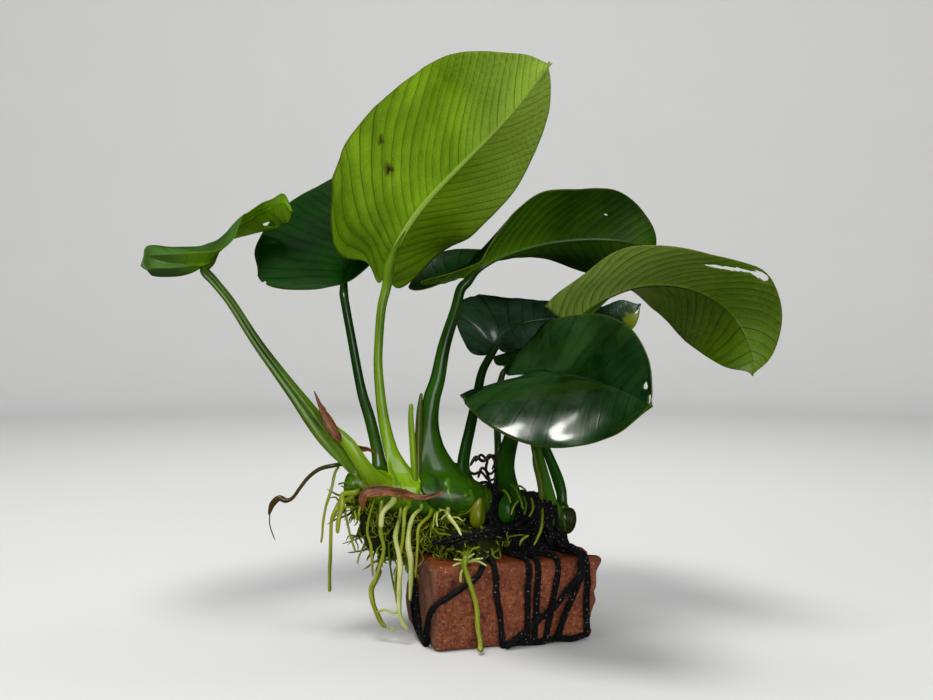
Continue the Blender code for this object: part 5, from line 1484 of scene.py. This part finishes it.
def build_windings(skin):
    """The black bundle on top of the stone: a dark body wound over and over with yarn, some of it lying
    lengthwise, some going up over the creeping stem and down its front, and some over the moss."""
    grid, out, points, faces, caps = packing_surface(WINDING_SECTIONS, 50, 70, 410, 0.8)
    rows, columns = grid.shape[:2]
    rng = np.random.default_rng(411)
    strands = []
    s = np.linspace(0, 1, 70)
    for _ in range(BODY_STRANDS):
        start, end = rng.uniform(0, 1), rng.uniform(0, 1)
        end = start + np.clip(end - start, -0.45, 0.45)
        c0, c1 = rng.uniform(0.60, 0.70), rng.uniform(0.90, 0.99)
        at_row = (start + (end - start) * s + 0.03 * np.sin(6 * s + rng.uniform(0, 6))) * (rows - 1)
        at_col = (c0 + (c1 - c0) * s) * columns
        r, c = np.clip(at_row.astype(int), 0, rows - 1), at_col.astype(int) % columns
        lay = rng.uniform(0.1, 1.3) + 0.6 * np.sin(np.pi * s)
        strands.append(grid[r, c] + out[r, c] * lay[:, None])
    down_at = 205  # the angle round the stem at which a strand leaves it
    for _ in range(STEM_STRANDS):
        t = rng.uniform(*STEM_WINDINGS)
        lean, foot = rng.uniform(-0.07, 0.07), rng.uniform(-14, 10)
        angle = np.linspace(rng.uniform(10, 50), down_at, 44)
        places = np.clip(t + lean * (angle / down_at - 0.5), 0, 1)
        over = on_rhizome(places, angle, rng.uniform(0.5, 2.2) + 0 * angle)
        reach = rng.uniform(3, 9)
        down = np.array((over[-1, 0] + foot, over[-1, 1] - reach, TOP + rng.uniform(1.2, 3.2)))
        middle = 0.5 * (over[-1] + down) + np.array((0, -1.5, 1.0))
        strands.append(smooth_curve(np.vstack([over[::4], middle, down]), s))
    for _ in range(MOSS_STRANDS):
        sway = rng.normal(size=(len(OVER_MOSS), 3)) * (1.2, 0.8, 1.1)
        strands.append(smooth_curve(np.array(OVER_MOSS) + sway, s))
    strands = np.array(strands)
    for _ in range(6):
        strands[:, 1:-1] = (strands[:, :-2] + 2 * strands[:, 1:-1] + strands[:, 2:]) / 4
    over_moss = np.arange(len(strands)) >= len(strands) - MOSS_STRANDS
    thick = rng.uniform(0.4, 0.8, len(strands)) * np.where(over_moss, 0.55, 1)
    radius = thick[:, None] * rounded_ends(s * 40, np.ones(len(s)))
    yarn_points, quads, ends, distance, around, _ = tubes(strands, plied(strands, radius, 10), 10)
    base = len(points)
    maps = run_map(np.r_[points[:, 0], distance], np.r_[points[:, 1], 6 * around])
    points, faces = np.concatenate([points, yarn_points]), [faces, caps, quads + base, ends + base]
    add_piece("yarn_windings", points, faces, [skin], ["tie_windings"], maps=maps)


def build_wrap(skin):
    """The turns of yarn round the creeping stem, close together, each leaning its own way."""
    turns = []
    rng = np.random.default_rng(412)
    angle = np.linspace(*WRAP_ARC, 70)
    for t in np.linspace(*WRAP_SPAN, WRAP_TURNS):
        lean = rng.uniform(-0.02, 0.02) * np.cos(np.radians(angle))
        turns.append(on_rhizome(np.clip(t + lean, 0, 1), angle, 1.0 + rng.uniform(0, 0.8) + 0 * angle))
    turns = np.array(turns)
    shape = plied(turns, np.full(turns.shape[:2], 0.8), 12)
    points, quads, ends, distance, around, _ = tubes(turns, shape, 12, side=(1, 0, 0))
    add_piece("yarn_round_stem", points, [quads, ends], [skin], ["tie_wrap"],
              maps=run_map(distance, 6 * around))


# --- Studio ---

# Lamps: place, the place each faces, size across, power, colour, and whether gloss shows it.
LAMPS = {
    "lamp_over": ((-150, -250, 900), (0, 0, 90), 340, 5.5, "#FFFDF8", True),
    "lamp_left": ((-900, -500, 500), (0, 0, 90), 700, 2.5, "#F6F9FF", False),
    "lamp_front": ((250, -1000, 450), (0, 0, 90), 800, 7.5, "#FFFFFF", True),
    "lamp_wall": ((0, 350, 1000), (0, 1500, 300), 900, 7.5, "#FFFFFF", False),
}
# The camera, which looks level: its place, the focal length on a 36 mm sensor, and the picture's shift.
CAMERA_AT, CAMERA_LENS, CAMERA_SHIFT = (-11.3, -361.4, 104.5), 38.585, -10 / 933


def build_studio():
    """A round pale floor that rises in a smooth curve to a wall all round, soft lamps and the camera."""
    flat, curve, sides = 1150, 450, 96
    bend = np.linspace(0, math.pi / 2, 14)
    profile = [(r, 0.0) for r in (200, 500, 850)]
    profile += [(flat + curve * math.sin(a), curve * (1 - math.cos(a))) for a in bend]
    profile += [(flat + curve, curve + h) for h in (240, 480)]
    radius, height = np.array(profile).T[..., None]
    angle = np.arange(sides) / sides * TURN
    points = np.stack([radius * np.cos(angle), radius * np.sin(angle), height + 0 * angle], -1)
    faces = grid_faces(len(profile), sides, wrap=True)[:, ::-1].tolist()
    faces += [(len(profile) * sides, c, (c + 1) % sides) for c in range(sides)]
    data = bpy.data.meshes.new("studio_floor")
    data.from_pydata((np.vstack([points.reshape(-1, 3), (0, 0, 0)]) * MM).tolist(), [], faces)
    data.polygons.foreach_set("use_smooth", np.ones(len(data.polygons), bool))
    data.materials.append(board_finish())
    floor = bpy.data.objects.new("studio_floor", data)
    bpy.context.scene.collection.objects.link(floor)
    floor.visible_glossy = False

    for name, (at, to, size, power, colour, seen) in LAMPS.items():
        lamp = bpy.data.lights.new(name, "AREA")
        lamp.shape, lamp.size, lamp.energy = "DISK", size * MM, power
        lamp.color = linear(colour)[:3]
        obj = bpy.data.objects.new(name, lamp)
        obj.location = np.array(at) * MM
        away = unit(np.array(at, float) - np.array(to, float))
        obj.rotation_euler = (math.acos(away[2]), 0, math.atan2(away[1], away[0]) + math.pi / 2)
        obj.visible_glossy = seen
        bpy.context.scene.collection.objects.link(obj)

    world = bpy.data.worlds.new("studio")
    world.use_nodes = True
    world.node_tree.nodes["Background"].inputs["Color"].default_value = linear("#F2F5FA")
    world.node_tree.nodes["Background"].inputs["Strength"].default_value = 0.40
    world.cycles_visibility.glossy = False
    bpy.context.scene.world = world
    bpy.context.scene.view_settings.view_transform = "Standard"
    bpy.context.scene.view_settings.look = "None"

    camera = bpy.data.cameras.new("camera")
    camera.sensor_width, camera.lens, camera.shift_y = 36, CAMERA_LENS, CAMERA_SHIFT
    camera.clip_start = 0.01
    obj = bpy.data.objects.new("camera", camera)
    obj.location = np.array(CAMERA_AT) * MM
    obj.rotation_euler = (math.pi / 2, 0, 0)
    bpy.context.scene.collection.objects.link(obj)
    bpy.context.scene.camera = obj


def main():
    """Builds the studio and every piece."""
    build_studio()
    build_stone()
    build_rhizome()
    for name, leaf in LEAVES.items():
        build_blade(name, leaf)
        build_stalk(name, leaf)
    for name, shoot in SHOOTS.items():
        build_shoot(name, shoot)
    build_roots()
    build_scales(dried_finish())
    yarn = yarn_finish()
    build_ties(yarn)
    build_moss()
    build_windings(yarn)
    build_wrap(yarn)


main()
